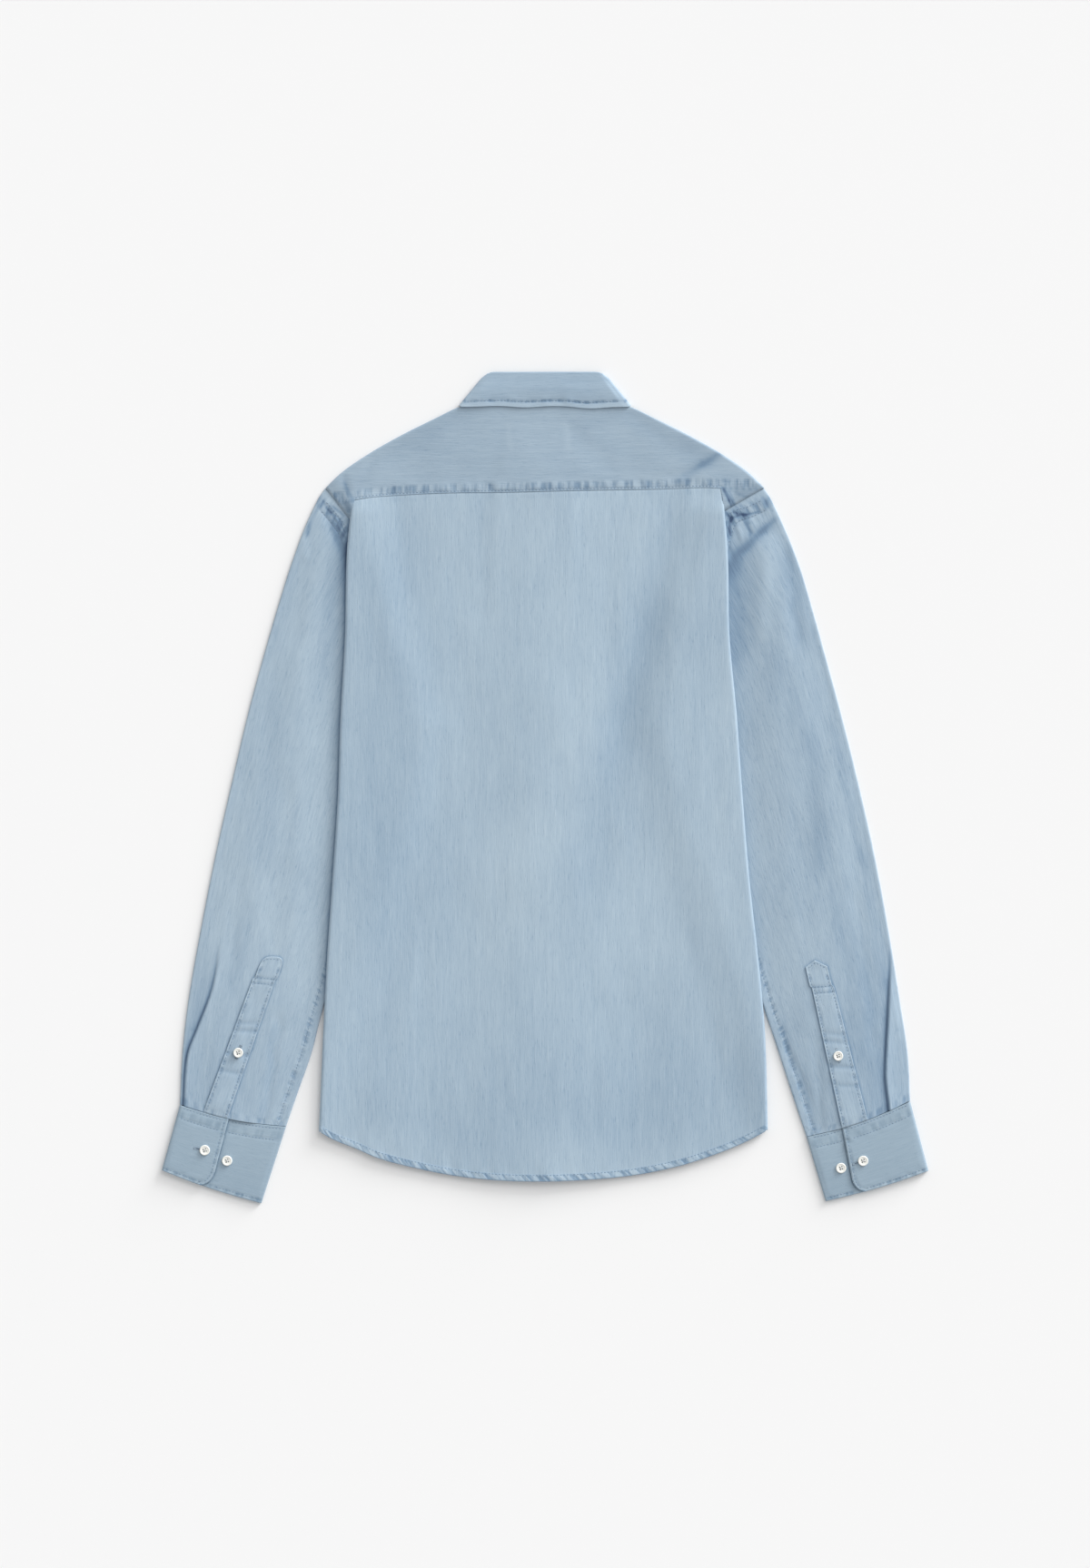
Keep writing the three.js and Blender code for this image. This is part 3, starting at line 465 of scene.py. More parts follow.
YOKE_SHADE_AND_WEAR = table("""
x0 y0 x1 y1 wide deep
168 321 150 310 3.5 0.34
150 310 134 300 5 0.24
90 352 150 322 12 0.1
-90 352 -140 326 12 0.07
60 330 100 318 9 0.06
-196 296 -150 288 8 0.08
40 352 70 356 6 0.08
184 292 196 286 9 0.22
172.8 287 177 277 1.2 0.7
177 277 180.5 271 1.3 0.7
174.5 286 181 276 1.2 0.5
181 276 185 271.5 1.2 0.5
179 285 184 275 1.3 0.3
175 281 182 269 5 0.24
188 284 198 280 1.5 0.3
-193.6 291 -187.4 278 2.4 0.42
-198 277 -191 265 1.3 0.45
-194 275 -189.5 267 1.2 0.4
-205 283 -200 276.5 1.2 0.3
-191 283 -188 266 3.5 0.2
-33 346 -33 330 3 -0.1
21 348 21 328 3 -0.12
""")
SLEEVE_CREASES = table("""
x0 y0 x1 y1 wide deep
226 263 211 246 3.6 1.3
211 246 193 230 4.4 1.4
193 230 180 216 5 1
192.5 265 198.5 245 1.5 1.1
195.5 263 197.5 256 1.2 0.5
181.5 258 178.5 245 1.5 0.9
176 264 182 261 1.4 0.8
182 261 187.5 263.5 1.3 0.6
204 267 193.6 265 1.4 0.8
193.6 265 184 266.5 1.4 0.9
204 280 210.5 271.5 1.2 0.5
207.5 278 212.5 270.5 1.2 -0.4
211 281 219 275.5 1.3 0.5
198 276 202.5 270.5 1.2 0.5
190 273.5 194.5 268.5 1.2 0.5
200.5 262 204 256 1.5 0.4
187 258 188 244 2.4 -0.6
236 222 244 146 7 0.6
214 226 210 160 9 -0.7
236 200 226 120 9 -0.4
268 60 250 -60 14 0.6
300 -60 296 -170 12 0.5
304 -120 318 -240 7 0.6
262 -250 268 -330 5 0.7
238 -262 262 -322 4 0.8
232 -240 250 -300 3 0.6
-222.6 272 -229 246 2.2 1.1
-229 262 -233 226 4 -0.5
-211 267 -202 243 4 0.9
-202 243 -193 227 4.5 1.2
-209 268 -203.5 262 1.4 0.6
-207.7 265 -203.3 266.3 1.2 0.5
-203 270 -196.5 263 1.3 0.6
-199 258 -195 250 1.3 0.6
-214 276 -210.5 269 1.3 0.5
-205 262 -200 255.5 1.3 -0.5
-231 234 -244 150 9 0.5
-262 90 -270 -40 14 0.6
-250 -20 -262 -150 12 0.5
-296 -100 -306 -180 8 0.5
-258 -230 -272 -326 5 0.7
-290 -210 -296 -245 5 -0.4
""")
SLEEVE_SHADE_AND_WEAR = table("""
x0 y0 x1 y1 wide deep
226 263 211 246 3.2 0.34
211 246 193 230 4.6 0.36
193 230 181 212 7 0.34
184 214 188 136 11 0.26
214 200 300 -220 60 0.1
192.5 265 198.5 245 1.3 0.8
195.5 263 197.5 256 1.1 0.5
181.5 258 178.5 245 1.4 0.8
176 264 182 261 1.3 0.8
182 261 187.5 263.5 1.2 0.6
177 254.5 181 258.5 1.2 0.6
204 267 193.6 265 1.2 0.6
193.6 265 184 266.5 1.3 0.8
204 280 210.5 271.5 1.1 0.42
207.5 278 212.5 270.5 1.1 0.32
211 281 219 275.5 1.2 0.4
198 276 202.5 270.5 1.1 0.35
190 273.5 194.5 268.5 1.1 0.45
214 276 220.5 269 1.2 0.3
183 268 180 252 5 0.16
236 223 245 146 7 0.22
216 220 212 150 8 -0.1
262 -110 268 -40 14 0.06
226 124 258 35 9 0.1
258 35 265 -69 9 0.1
276 60 308 -69 5 0.14
308 -69 326 -190 5 0.15
279 -105 282 -150 5 0.12
308 -150 314 -215 7 0.1
-300 -200 -318 -300 30 0.07
290 -100 300 -250 11 0.1
310 -180 312 -260 6 0.08
230 -236 262 -330 4 0.2
-221.5 273 -228.5 248 1.9 0.8
-211 267 -202 243 4 0.25
-203 245 -195 226 6 0.4
-206 214 -212 120 9 0.14
-209 268 -203.5 262 1.2 0.55
-207.7 265 -203.3 266.3 1.1 0.45
-203 270 -196.5 263 1.2 0.5
-199 258 -195 250 1.2 0.5
-214 276 -210.5 269 1.1 0.4
-205 262 -200 255.5 1.1 0.35
-201 252 -194.5 243 1.4 0.4
-262 60 -276 -60 16 0.1
-290 -120 -300 -190 9 0.08
-262 -240 -276 -326 5 0.12
""")
FRONT_CREASES = table("""
x0 y0 x1 y1 wide deep
-150 200 -90 120 9 0.4
-120 40 -60 -90 16 0.4
-170 -60 -150 -240 12 0.3
-60 -200 -96 -330 14 0.35
40 250 60 150 8 0.3
146 190 104 96 10 0.45
80 20 120 -110 16 0.4
168 -20 176 -180 11 0.3
50 -160 84 -320 15 0.35
""")
# The pleats beside the plackets. The cloth at the right of each line lies over the cloth
# at its left. Each starts at one height and is full at another.
PLEATS = {
    "left": table("""
x y
-313 -135
-314.7 -153
-322.3 -197
-336.7 -235.7
-345.1 -257.6
-348.6 -285
-349.4 -320
"""),
    "right": table("""
x y
334 -120
335 -153
332.5 -220.5
329.9 -279.4
332.5 -306.2
335.2 -325
"""),
}
PLEAT_START = {"left": (-140.0, -225.0), "right": (-120.0, -235.0)}
PLEAT_RISE = 2.0


def pleat(name, x, y):
    """The change of height at a sleeve's pleat, and its painted shade and fold shadow line."""
    line = reader(PLEATS[name], "y", "x")(y)
    start, full = PLEAT_START[name]
    strength = 1 - ease(full, start, y)
    over = x - line
    ahead = np.exp(-np.maximum(over, 0) / 12) * ease(-0.6, 0.6, over)
    behind = 0.5 * np.exp(np.minimum(over, 0) / 5) * (1 - ease(-0.6, 0.6, over))
    # painted shade on the lower side and a painted shadow line along the fold
    shade = np.exp(np.minimum(over + 0.6, 0) / 12) * (1 - ease(-0.6, 0.4, over))
    fold_shadow = bell(over + 1.0, 1.5)
    return PLEAT_RISE * strength * (ahead - behind), strength * (0.34 * shade + 0.75 * fold_shadow)


def creased(x, y, rows):
    """What a table of creases gives at each point, with each crease a little crooked."""
    depth = np.zeros(np.broadcast(x, y).shape)
    x, y = x + 2.6 * waves(x, y, 17, 91), y + 2.6 * waves(x, y, 19, 92)
    for x0, y0, x1, y1, wide, deep in zip(*(rows[k] for k in rows)):
        run = np.array([x1 - x0, y1 - y0])
        length = math.hypot(*run)
        along = ((x - x0) * run[0] + (y - y0) * run[1]) / length
        past = np.maximum(np.maximum(-along, along - length), 0)
        across = np.abs((x - x0) * run[1] - (y - y0) * run[0]) / length
        depth += deep * np.exp(-((across / wide) ** 2) - (past / (2 * wide)) ** 2)
    return depth


def waves(x, y, size, seed):
    """Smooth noise between about -1 and 1, the same in each run."""
    x, y = np.broadcast_arrays(np.asarray(x, float), np.asarray(y, float))
    grid = np.random.default_rng(seed).uniform(-1, 1, (64, 64))
    u, v = x / size + 500.0, y / size + 500.0
    column, row = np.floor(u).astype(int), np.floor(v).astype(int)
    s, t = u - column, v - row
    s, t = s * s * (3 - 2 * s), t * t * (3 - 2 * t)
    at = lambda r, c: grid[r % 64, c % 64]
    low = mix(at(row, column), at(row, column + 1), s)
    high = mix(at(row + 1, column), at(row + 1, column + 1), s)
    return mix(low, high, t)


def beside_stitches(*rows):
    """How near each point is to the gathers of a row of stitches, as a mesh layer.

    Each row gives the distance to the middle of its gathers, the way along it, half of
    the gathers' height and their strength. The nearest row counts.
    """
    rows = [np.broadcast_arrays(*row, rows[0][0]) for row in rows]
    near = np.stack([distance / half for distance, run, half, strength, _ in rows])
    which = np.argmin(np.abs(near), 0)[None]
    pick = lambda parts: np.take_along_axis(np.stack(parts), which, 0)[0]
    return vector(pick(near), pick([row[1] for row in rows]) * MM, pick([row[3] for row in rows]))


def pucker(run, distance, wide, reach, deep, seed):
    """Short gathers beside a line of stitches, as a change of height."""
    fade = bell(distance, reach)
    return deep * fade * waves(run, distance * 0.25, wide, seed)


def room_below(x, y):
    """How far the back can sink before it meets the fronts under it."""
    under = np.maximum(left_front_level(x, y), right_front_level(x, y))
    return np.maximum(top_level(x, y) - under - CLOTH - 0.1, 0.15)


def limited(depth, room):
    """A depth that stays within the room there is, with ridges left as they are."""
    return np.where(depth > 0, room * np.tanh(depth / room), depth)


HEM_FOLD = 6.0
YOKE_LAP = 2.0
YOKE_STEP_UP = 0.2
UNDER_YOKE = 0.25
YOKE_ROW = 2.0


def laid_back(x, y):
    """The middle of the back as it lies, with its creases and gathers."""
    depth = creased(x, y, BACK_CREASES)
    depth = depth - 0.45 * waves(x, y, 74, 3) - 0.2 * waves(x * 1.6, y * 0.5, 24, 4)
    level = top_level(x, y) - limited(depth, room_below(x, y) * 0.8)
    hem, seam = y - hem_height(x), seam_height(x) - y
    gathers = pucker(x, seam, 11, 26, 0.22, 5) + pucker(x, hem - HEM_FOLD, 9, 12, 0.3, 6)
    roping = 0.45 * bell(hem - 3, 2.6) * waves(x + 0.9 * y, 0, 3.4, 7)
    hem_step = 0.3 * (1 - ease(HEM_FOLD - 0.8, HEM_FOLD + 0.8, hem))
    return level + gathers + roping + hem_step


def back_height(x, y):
    """The middle of the back, let down where its top runs under the yoke."""
    return laid_back(x, y) - UNDER_YOKE * ease(0.8, -0.8, seam_height(x) - y)


def yoke_height(x, y):
    """The middle of the yoke as it lies, with its lower edge on the back."""
    over = y - seam_height(x)
    depth = creased(x, y, YOKE_CREASES)
    depth = depth - 0.3 * waves(x, y, 46, 11) - 0.12 * waves(x, y, 17, 12)
    gathers = pucker(x, over - 5, 6.5, 5, 0.45, 13) * ease(0, 4, over)
    own = top_level(x, y) - limited(depth, 0.5)
    on_back = laid_back(x, y) + YOKE_STEP_UP
    row = 0.2 * bell(over - YOKE_ROW, 0.7)
    return mix(own, on_back, 1 - ease(2, 16, over)) + gathers - row


def sleeve_height(x, y):
    """The middle of a sleeve's top layer as it lies."""
    depth = creased(x, y, SLEEVE_CREASES)
    depth = depth - 0.3 * waves(x, y, 58, 21) - 0.14 * waves(x * 1.5, y * 0.6, 19, 22)
    full = sleeve_top(x, y) - CLOTH / 2
    return full - limited(depth, np.maximum(full - CLOTH / 2 - CLOTH, 0.1) * 0.8)


def placed(name, data):
    """A new object in the scene."""
    item = bpy.data.objects.new(name, data)
    bpy.context.scene.collection.objects.link(item)
    return item


def build_mesh(name, points, faces, layers=None, smooth=True):
    """A mesh object from points in millimetres, face arrays and values for each point."""
    mesh = bpy.data.meshes.new(name)
    points = np.asarray(points, float) * MM + SHIFT
    loops = np.concatenate([group.reshape(-1) for group in faces])
    sizes = np.concatenate([np.full(len(group), group.shape[1]) for group in faces])
    mesh.vertices.add(len(points))
    mesh.vertices.foreach_set("co", points.reshape(-1).astype(np.float32))
    mesh.loops.add(len(loops))
    mesh.loops.foreach_set("vertex_index", loops.astype(np.int32))
    mesh.polygons.add(len(sizes))
    mesh.polygons.foreach_set("loop_start", (np.cumsum(sizes) - sizes).astype(np.int32))
    mesh.polygons.foreach_set("use_smooth", np.full(len(sizes), smooth))
    mesh.update(calc_edges=True)
    mesh.validate()
    for key, values in (layers or {}).items():
        kind, field = ("FLOAT", "value") if key == "fade" else ("FLOAT_VECTOR", "vector")
        layer = mesh.attributes.new(key, kind, "POINT")
        layer.data.foreach_set(field, values.reshape(-1).astype(np.float32))
    return placed(name, mesh)


def unit(ways):
    return ways / (np.linalg.norm(ways, axis=-1, keepdims=True) + 1e-12)


def shell(name, grid, thick=CLOTH, ring=False, has=None, **layers):
    """A closed sheet of cloth round a grid of points on its middle.

    Its layers are cloth, where each point is on the cut piece, as across, along and a
    seed, then seam, as beside_stitches gives it, and fade, how much darker and
    bluer it is: painted shade in creases, folds and beside raised edges together with
    bluer wear, and below zero a painted highlight.
    """
    points = grid.reshape(-1, 3)
    index = np.arange(len(points)).reshape(grid.shape[:2])
    if ring:
        index = np.column_stack([index, index[:, 0]])
    cells = np.stack([index[:-1, :-1], index[:-1, 1:], index[1:, 1:], index[1:, :-1]], -1)
    cells = cells.reshape(-1, 4) if has is None else cells[has]
    p = points[cells]
    normal = unit(np.cross(p[:, 2] - p[:, 0], p[:, 3] - p[:, 1]))
    total = np.zeros_like(points)
    for corner in range(4):
        np.add.at(total, cells[:, corner], normal)
    used, cells = np.unique(cells, return_inverse=True)
    cells, count = cells.reshape(-1, 4), len(used)
    middle, rise = points[used], unit(total[used]) * thick / 2
    start, end = cells.T.reshape(-1), np.roll(cells, -1, 1).T.reshape(-1)
    lone = ~np.isin(start * count + end, end * count + start)
    start, end = start[lone], end[lone]
    rim = np.stack([start, start + count, end + count, end], -1)
    for key, values in layers.items():
        layers[key] = np.tile(values.reshape(len(points), -1)[used], (2, 1))
    points = np.concatenate([middle + rise, middle - rise])
    return build_mesh(name, points, [cells, cells[:, ::-1] + count, rim], layers)


FINE = 3.0
FRONT_STEP = 5.0
BODY_LONG = 620.0
MAIN_COLUMNS = 64
FRONT_COLUMNS = 22
LOW_Y = -334.0
HIGH_Y = 280.0
FOLD_ANGLES = np.radians(np.arange(18, 180, 18))
PLEAT_INSETS = np.array([0, 5, 12, 20, 30, 40, 51, PLEAT])
PLEAT_HEM_RISE = 0.4
PLEAT_REACH = 0.98
LOW_ROWS = np.array([0, 0.8, 2, 3.5, 5, 5.8, 6.6, 8, 10])
HIGH_ROWS = -np.array([9, 6.5, 4.5, 3, 1.5, 0.5, 0])


def panel_columns(side, bend, over, under, hem_rise, main, hem, top):
    """The columns of a body panel from the middle to the end of the folded cloth.

    Each has its two ends and a function that places points at given heights.
    """
    sign, end_y = side["sign"], side["crossing"][1]
    low = float(hem_height(sign * side["fold"](LOW_Y))) + hem_rise
    top_y = float(top(sign * axis_x(side, HIGH_Y)))

    def on_top(part):
        def place(y):
            x = sign * part * axis_x(side, y)
            return vector(x, y, over(x, y))
        reach = sign * part
        return float(hem(reach * axis_x(side, LOW_Y))), float(top(reach * axis_x(side, HIGH_Y))), place

    def on_bend(angle):
        def place(y):
            axis = sign * axis_x(side, y)
            high, deep = over(axis, y), under + sleeve_lift(axis, y)
            z = (high + deep) / 2 + (high - deep) / 2 * math.cos(angle)
            return vector(axis + sign * bend * math.sin(angle), y, z)
        return low, mix(top_y, end_y - GAP, angle / math.pi), place

    def under_fold(inset):
        def place(y):
            x = sign * (axis_x(side, y) - inset)
            return vector(x, y, under + sleeve_lift(x, y))
        high = end_y - GAP - inset / PLEAT * (end_y - UNDERARM[1]) * PLEAT_REACH
        return low + PLEAT_HEM_RISE * inset, high, place

    return [on_top(part) for part in np.linspace(0, 1, main + 1)[1:]] \
        + [on_bend(angle) for angle in FOLD_ANGLES] + [under_fold(inset) for inset in PLEAT_INSETS]


def panel_grid(columns, step):
    """Rows of points over columns, closer together at the hem and at the top."""
    middle = np.linspace(0, 1, int(BODY_LONG / step) + 2)[1:-1]
    grid = []
    for low, high, place in columns:
        body = mix(low + LOW_ROWS[-1], high + HIGH_ROWS[0], middle)
        grid.append(place(np.concatenate([low + LOW_ROWS, body, high + HIGH_ROWS])))
    return np.stack(grid, 1)


def back_fade(x, y):
    """Painted shade in creases and along the side folds, darker hem lines and bluer wear."""
    hem = y - hem_height(x)
    # darker lines at the hem's edge and the top of its fold, and painted shade close to the side folds
    edge = 0.3 * bell(hem, 1.0) + 0.14 * bell(hem - HEM_FOLD, 0.9)
    from_fold = by_side(x, lambda side: side["fold"](y)) - np.abs(x)
    return creased(x, y, BACK_SHADE_AND_WEAR) + edge + 0.05 * (1 - ease(0, 9, from_fold))


def make_back():
    def top(x):
        return seam_height(x) + YOKE_LAP * (1 - ease(162, 172, np.abs(x))) - GAP / 2

    left, right = [panel_columns(side, BACK_BEND, back_height, BACK_RETURN, 0, MAIN_COLUMNS, hem_height, top)
                   for side in SIDES.values()]
    middle = (float(hem_height(0)), float(top(0)), lambda y: vector(0, y, back_height(0, y)))
    grid = panel_grid(left[::-1] + [middle] + right, FINE)
    x, y = grid[..., 0], grid[..., 1]
    hem = y - hem_height(x)
    seam = beside_stitches((hem - 3.0, x + 0.9 * np.clip(hem, 0, HEM_FOLD), 3.4, 0.75),
                           (seam_height(x) - y - 3, x, 4.0, 0.1))
    return shell("back", grid, cloth=vector(x * MM, y * MM, 0.1), seam=seam, fade=back_fade(x, y))


FRONT_HEM_UP = 4.0
FRONT_OVERLAP = 17.0
FRONT_NECK_Y = 271.5
UNDER_STRIP = 8.0
UNDER_NECK = 3.7


def under_strip(x):
    """How far a front runs on under the yoke's front strip."""
    inner = mix(UNDER_NECK * ease(58, 74, x), UNDER_STRIP, ease(84, 90, x))
    return inner * (1 - ease(158, 184, x))


def make_front(side, level):
    def hem(x):
        return hem_height(x) + FRONT_HEM_UP

    def top(x):
        return front_top(np.abs(x)) - GAP + under_strip(np.abs(x))

    low, edge_x = float(hem(0)), -side["sign"] * FRONT_OVERLAP
    columns = [
        (low, FRONT_NECK_Y, lambda y: vector(edge_x, y, level(edge_x, y))),
        (low, float(top(0)), lambda y: vector(0, y, level(0, y))),
        *panel_columns(side, FRONT_BEND, level, FRONT_RETURN, FRONT_HEM_UP, FRONT_COLUMNS, hem, top),
    ]
    grid = panel_grid(columns[::side["sign"]], FRONT_STEP)
    x, y = grid[..., 0], grid[..., 1]
    # Painted shade in the creases' troughs.
    fade = 0.3 * np.maximum(creased(x, y, FRONT_CREASES), 0)
    seam = beside_stitches((y - hem(x) - 3, x, 3.0, 0.6))
    return shell("front." + side["name"], grid, cloth=vector(x * MM, y * MM, 0.3), seam=seam, fade=fade)


class Nodes:
    """A material's nodes, with short ways to add and join them."""

    def __init__(self, name):
        self.material = bpy.data.materials.new(name)
        self.material.use_nodes = True
        self.tree = self.material.node_tree

    def put(self, socket, value):
        if isinstance(value, bpy.types.NodeSocket):
            self.tree.links.new(value, socket)
        else:
            socket.default_value = value

    def fill(self, item, values):
        for key, value in values.items():
            self.put(item.inputs[key], value)

    def shade(self, **values):
        """Set the shader's sockets, with _ for each space in a name."""
        shader = self.tree.nodes["Principled BSDF"]
        self.fill(shader, {key.replace("_", " "): value for key, value in values.items()})
        return self.material

    def add(self, kind, *inputs, **settings):
        """A new node with its settings and the values of its first sockets."""
        item = self.tree.nodes.new(kind)
        for key, value in settings.items():
            setattr(item, key, value)
        self.fill(item, dict(enumerate(inputs)))
        return item

    def math(self, operation, first, second=0.0, clamp=False):
        return self.add("ShaderNodeMath", first, second, operation=operation, use_clamp=clamp).outputs[0]

    def attribute(self, name):
        return self.add("ShaderNodeAttribute", attribute_name=name).outputs

    def noise(self, coordinates, scales, detail=2.0, shift=0.0):
        """Noise that is stretched by its own scale along each axis."""
        shifts = (shift, shift * 1.7, shift * 0.6)
        scaled = self.add("ShaderNodeVectorMath", coordinates, scales, shifts, operation="MULTIPLY_ADD")
        item = self.add("ShaderNodeTexNoise", scaled.outputs[0])
        self.fill(item, {"Scale": 1.0, "Detail": detail})
        return item.outputs["Fac"]

    def around(self, value, weight):
        """A noise's change from its middle, times a weight."""
        return self.math("MULTIPLY", self.math("SUBTRACT", value, 0.5), weight)

    def blend(self, part, low, high):
        item = self.add("ShaderNodeMix", part, data_type="RGBA")
        self.fill(item, {6: low, 7: high})
        return item.outputs[2]


def linear(red, green, blue):
    """A colour given as it looks on a screen, from 0 to 255, as the shader needs it."""
    parts = [channel / 255 for channel in (red, green, blue)]
    return tuple(p / 12.92 if p <= 0.04045 else ((p + 0.055) / 1.055) ** 2.4 for p in parts) + (1.0,)


STREAKS = [
    # across and along the warp, in waves per metre, with the weight and the shift
    (1300, 60, 0.38, 0.0),
    (600, 34, 0.28, 11.0),
    (210, 12, 0.16, 23.0),
]
SLUBS = (1100, 150)
SLUB_FROM = 0.57
SLUB_WEIGHT = -0.8
SEED_SCALE = 40.0
WEAVE = (1900.0, 1900.0, SEED_SCALE)
WEAVE_WEIGHT = 0.22
PATCHES = (11.0, 7.0, SEED_SCALE)
PATCH_WEIGHT = 0.36
MIDDLE_TONE = 0.56
DASH_ALONG = 185.0
DASH_ACROSS = 0.14
DASH_WEIGHT = 4.4
PALEST_DASH = 0.16
# The colour of painted shadow in crevices, deep creases and beside raised edges.
PAINTED_SHADOW_COLOUR = (58, 78, 108)


def denim(name, pale, deep, across=False, slubby=1.0):
    """Washed denim: pale and deep yarns in slubby streaks, bluer beside the stitches.

    across turns the streaks, for pieces that are cut with the warp along X, and slubby
    is how strong they are. The mesh's own layers, cloth, seam and fade, give the
    rest. Where fade takes the tone below the deep colour, the colour goes on
    towards a dark painted shadow colour.
    """
    nodes = Nodes(name)
    cloth = nodes.attribute("cloth")["Vector"]
    distance, run, strength = nodes.add("ShaderNodeSeparateXYZ", nodes.attribute("seam")["Vector"]).outputs

    def streaks(wide, long, detail, shift):
        scales = (long, wide, SEED_SCALE) if across else (wide, long, SEED_SCALE)
        return nodes.noise(cloth, scales, detail, shift)

    weave = 0.0
    for wide, long, weight, shift in STREAKS:
        weave = nodes.math("ADD", nodes.around(streaks(wide, long, 2.0, shift), weight * slubby), weave)
    slubs = nodes.math("SUBTRACT", streaks(*SLUBS, 1.0, 41.0), SLUB_FROM)
    slubs = nodes.math("MULTIPLY", nodes.math("MAXIMUM", slubs, 0.0), SLUB_WEIGHT * slubby)
    weave = nodes.math("ADD", weave, slubs)
    weave = nodes.math("ADD", nodes.around(nodes.noise(cloth, WEAVE, 1.0, 5.0), WEAVE_WEIGHT), weave)

    gather = nodes.add("ShaderNodeCombineXYZ", nodes.math("MULTIPLY", run, DASH_ALONG),
                       nodes.math("MULTIPLY", distance, DASH_ACROSS))
    dashes = nodes.math("ADD", nodes.noise(gather.outputs[0], (1.0, 1.0, 1.0), 2.0, 3.0), -0.04)
    dashes = nodes.math("MINIMUM", nodes.around(dashes, DASH_WEIGHT), PALEST_DASH)
    outside = nodes.math("SUBTRACT", nodes.math("ABSOLUTE", distance), 0.45)
    near = nodes.math("SUBTRACT", 1.0, nodes.math("MULTIPLY", outside, 1.4), clamp=True)
    worn = nodes.math("MULTIPLY", dashes, nodes.math("MULTIPLY", near, strength))

    # darker where the mesh's layer of painted shade and wear is higher
    tone = nodes.math("SUBTRACT", MIDDLE_TONE, nodes.attribute("fade")["Fac"])
    tone = nodes.math("ADD", tone, weave)
    tone = nodes.math("ADD", nodes.around(nodes.noise(cloth, PATCHES, 3.0, 31.0), PATCH_WEIGHT), tone)
    tone = nodes.math("ADD", tone, worn)
    colour = nodes.blend(nodes.math("MAXIMUM", tone, 0.0, clamp=True), linear(*deep), linear(*pale))
    # Painted shadow: where the tone falls below zero, the colour goes on towards the shadow colour.
    painted_shadow_mix = nodes.math("MULTIPLY", tone, -1.0, clamp=True)
    bump = nodes.add("ShaderNodeBump")
    height = nodes.math("ADD", nodes.math("MULTIPLY", weave, 0.9), nodes.math("MULTIPLY", worn, 1.1))
    nodes.fill(bump, {"Strength": 0.6, "Distance": 0.0005, "Height": height})
    return nodes.shade(
        Base_Color=nodes.blend(painted_shadow_mix, colour, linear(*PAINTED_SHADOW_COLOUR)), Roughness=0.92, Specular_IOR_Level=0.25,
        Sheen_Weight=0.12, Sheen_Roughness=0.6, Normal=bump.outputs["Normal"])


def plain(name, colour, roughness, change):
    """A smooth material with a slight unevenness in its colour."""
    nodes = Nodes(name)
    place = nodes.add("ShaderNodeTexCoord").outputs["Object"]
    tone = nodes.noise(place, (400.0, 400.0, 400.0), 3.0)
    low = [max(channel - change, 0) for channel in colour]
    return nodes.shade(Base_Color=nodes.blend(tone, linear(*low), linear(*colour)), Roughness=roughness)


BODY = denim("denim body", (187, 204, 215), (124, 149, 172))
YOKE = denim("denim yoke", (176, 193, 205), (113, 137, 160), across=True, slubby=0.85)
SLEEVE = denim("denim sleeve", (185, 202, 213), (119, 144, 168))
CUFF = denim("denim cuff", (172, 190, 202), (109, 133, 154), across=True, slubby=0.55)
COLLAR_CLOTH_LOOK = denim("denim collar", (178, 196, 209), (115, 140, 164), across=True, slubby=0.75)
BUTTON = plain("button", (238, 238, 232), 0.3, 6)
THREAD = plain("thread", (126, 148, 170), 0.7, 16)
HOLE_THREAD = plain("hole thread", (142, 158, 173), 0.7, 20)
BUTTON_THREAD = plain("button thread", (196, 198, 200), 0.7, 12)
# The dark in a buttonhole's slit, a painted shadow.
SLIT_SHADOW = plain("slit", (70, 88, 112), 0.9, 12)


def set_up(piece, material, node=None):
    """Give a piece its material, hang it on the root and hide the node that it stands for."""
    piece.data.materials.append(material)
    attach(piece, "root")
    if node:
        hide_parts(node)


def dress(piece, node, material, cut=None):
    """Set up a piece of cloth and look up the size that it was cut to."""
    width, length, area = CUTS[cut or node]
    set_up(piece, material, node)


VIEW_HEIGHT = 4000.0
VIEW_LONG = 1519.8
VIEW_CENTRE = (0.0, 2.2)
SENSOR = 36.0


def add_camera():
    data = bpy.data.cameras.new("camera")
    data.sensor_fit = "VERTICAL"
    data.sensor_height = SENSOR
    data.lens = SENSOR * VIEW_HEIGHT / VIEW_LONG
    data.clip_end = 20
    item = placed("camera", data)
    item.location = np.array([*VIEW_CENTRE, VIEW_HEIGHT]) * MM + SHIFT
    bpy.context.scene.camera = item


SKY = 0.62
FLOOR_DOWN = 0.1
FLOOR_HALF = 6000.0
WINDOWS = [
    # the way to the light, its share of the light on the floor and its spread in degrees
    ((0.85, 1.0, 1.15), 0.23, 40),
    ((1.0, 1.1, 0.36), 0.23, 26),
]


def add_windows():
    """Soft light from the upper right, as from large windows, one high and one low."""
    for way, share, spread in WINDOWS:
        data = bpy.data.lights.new("window", "SUN")
        way = Vector(way).normalized()
        data.energy = share * math.pi / way.z
        data.angle = math.radians(spread)
        placed("window", data).rotation_euler = (-way).to_track_quat("-Z", "Y").to_euler()


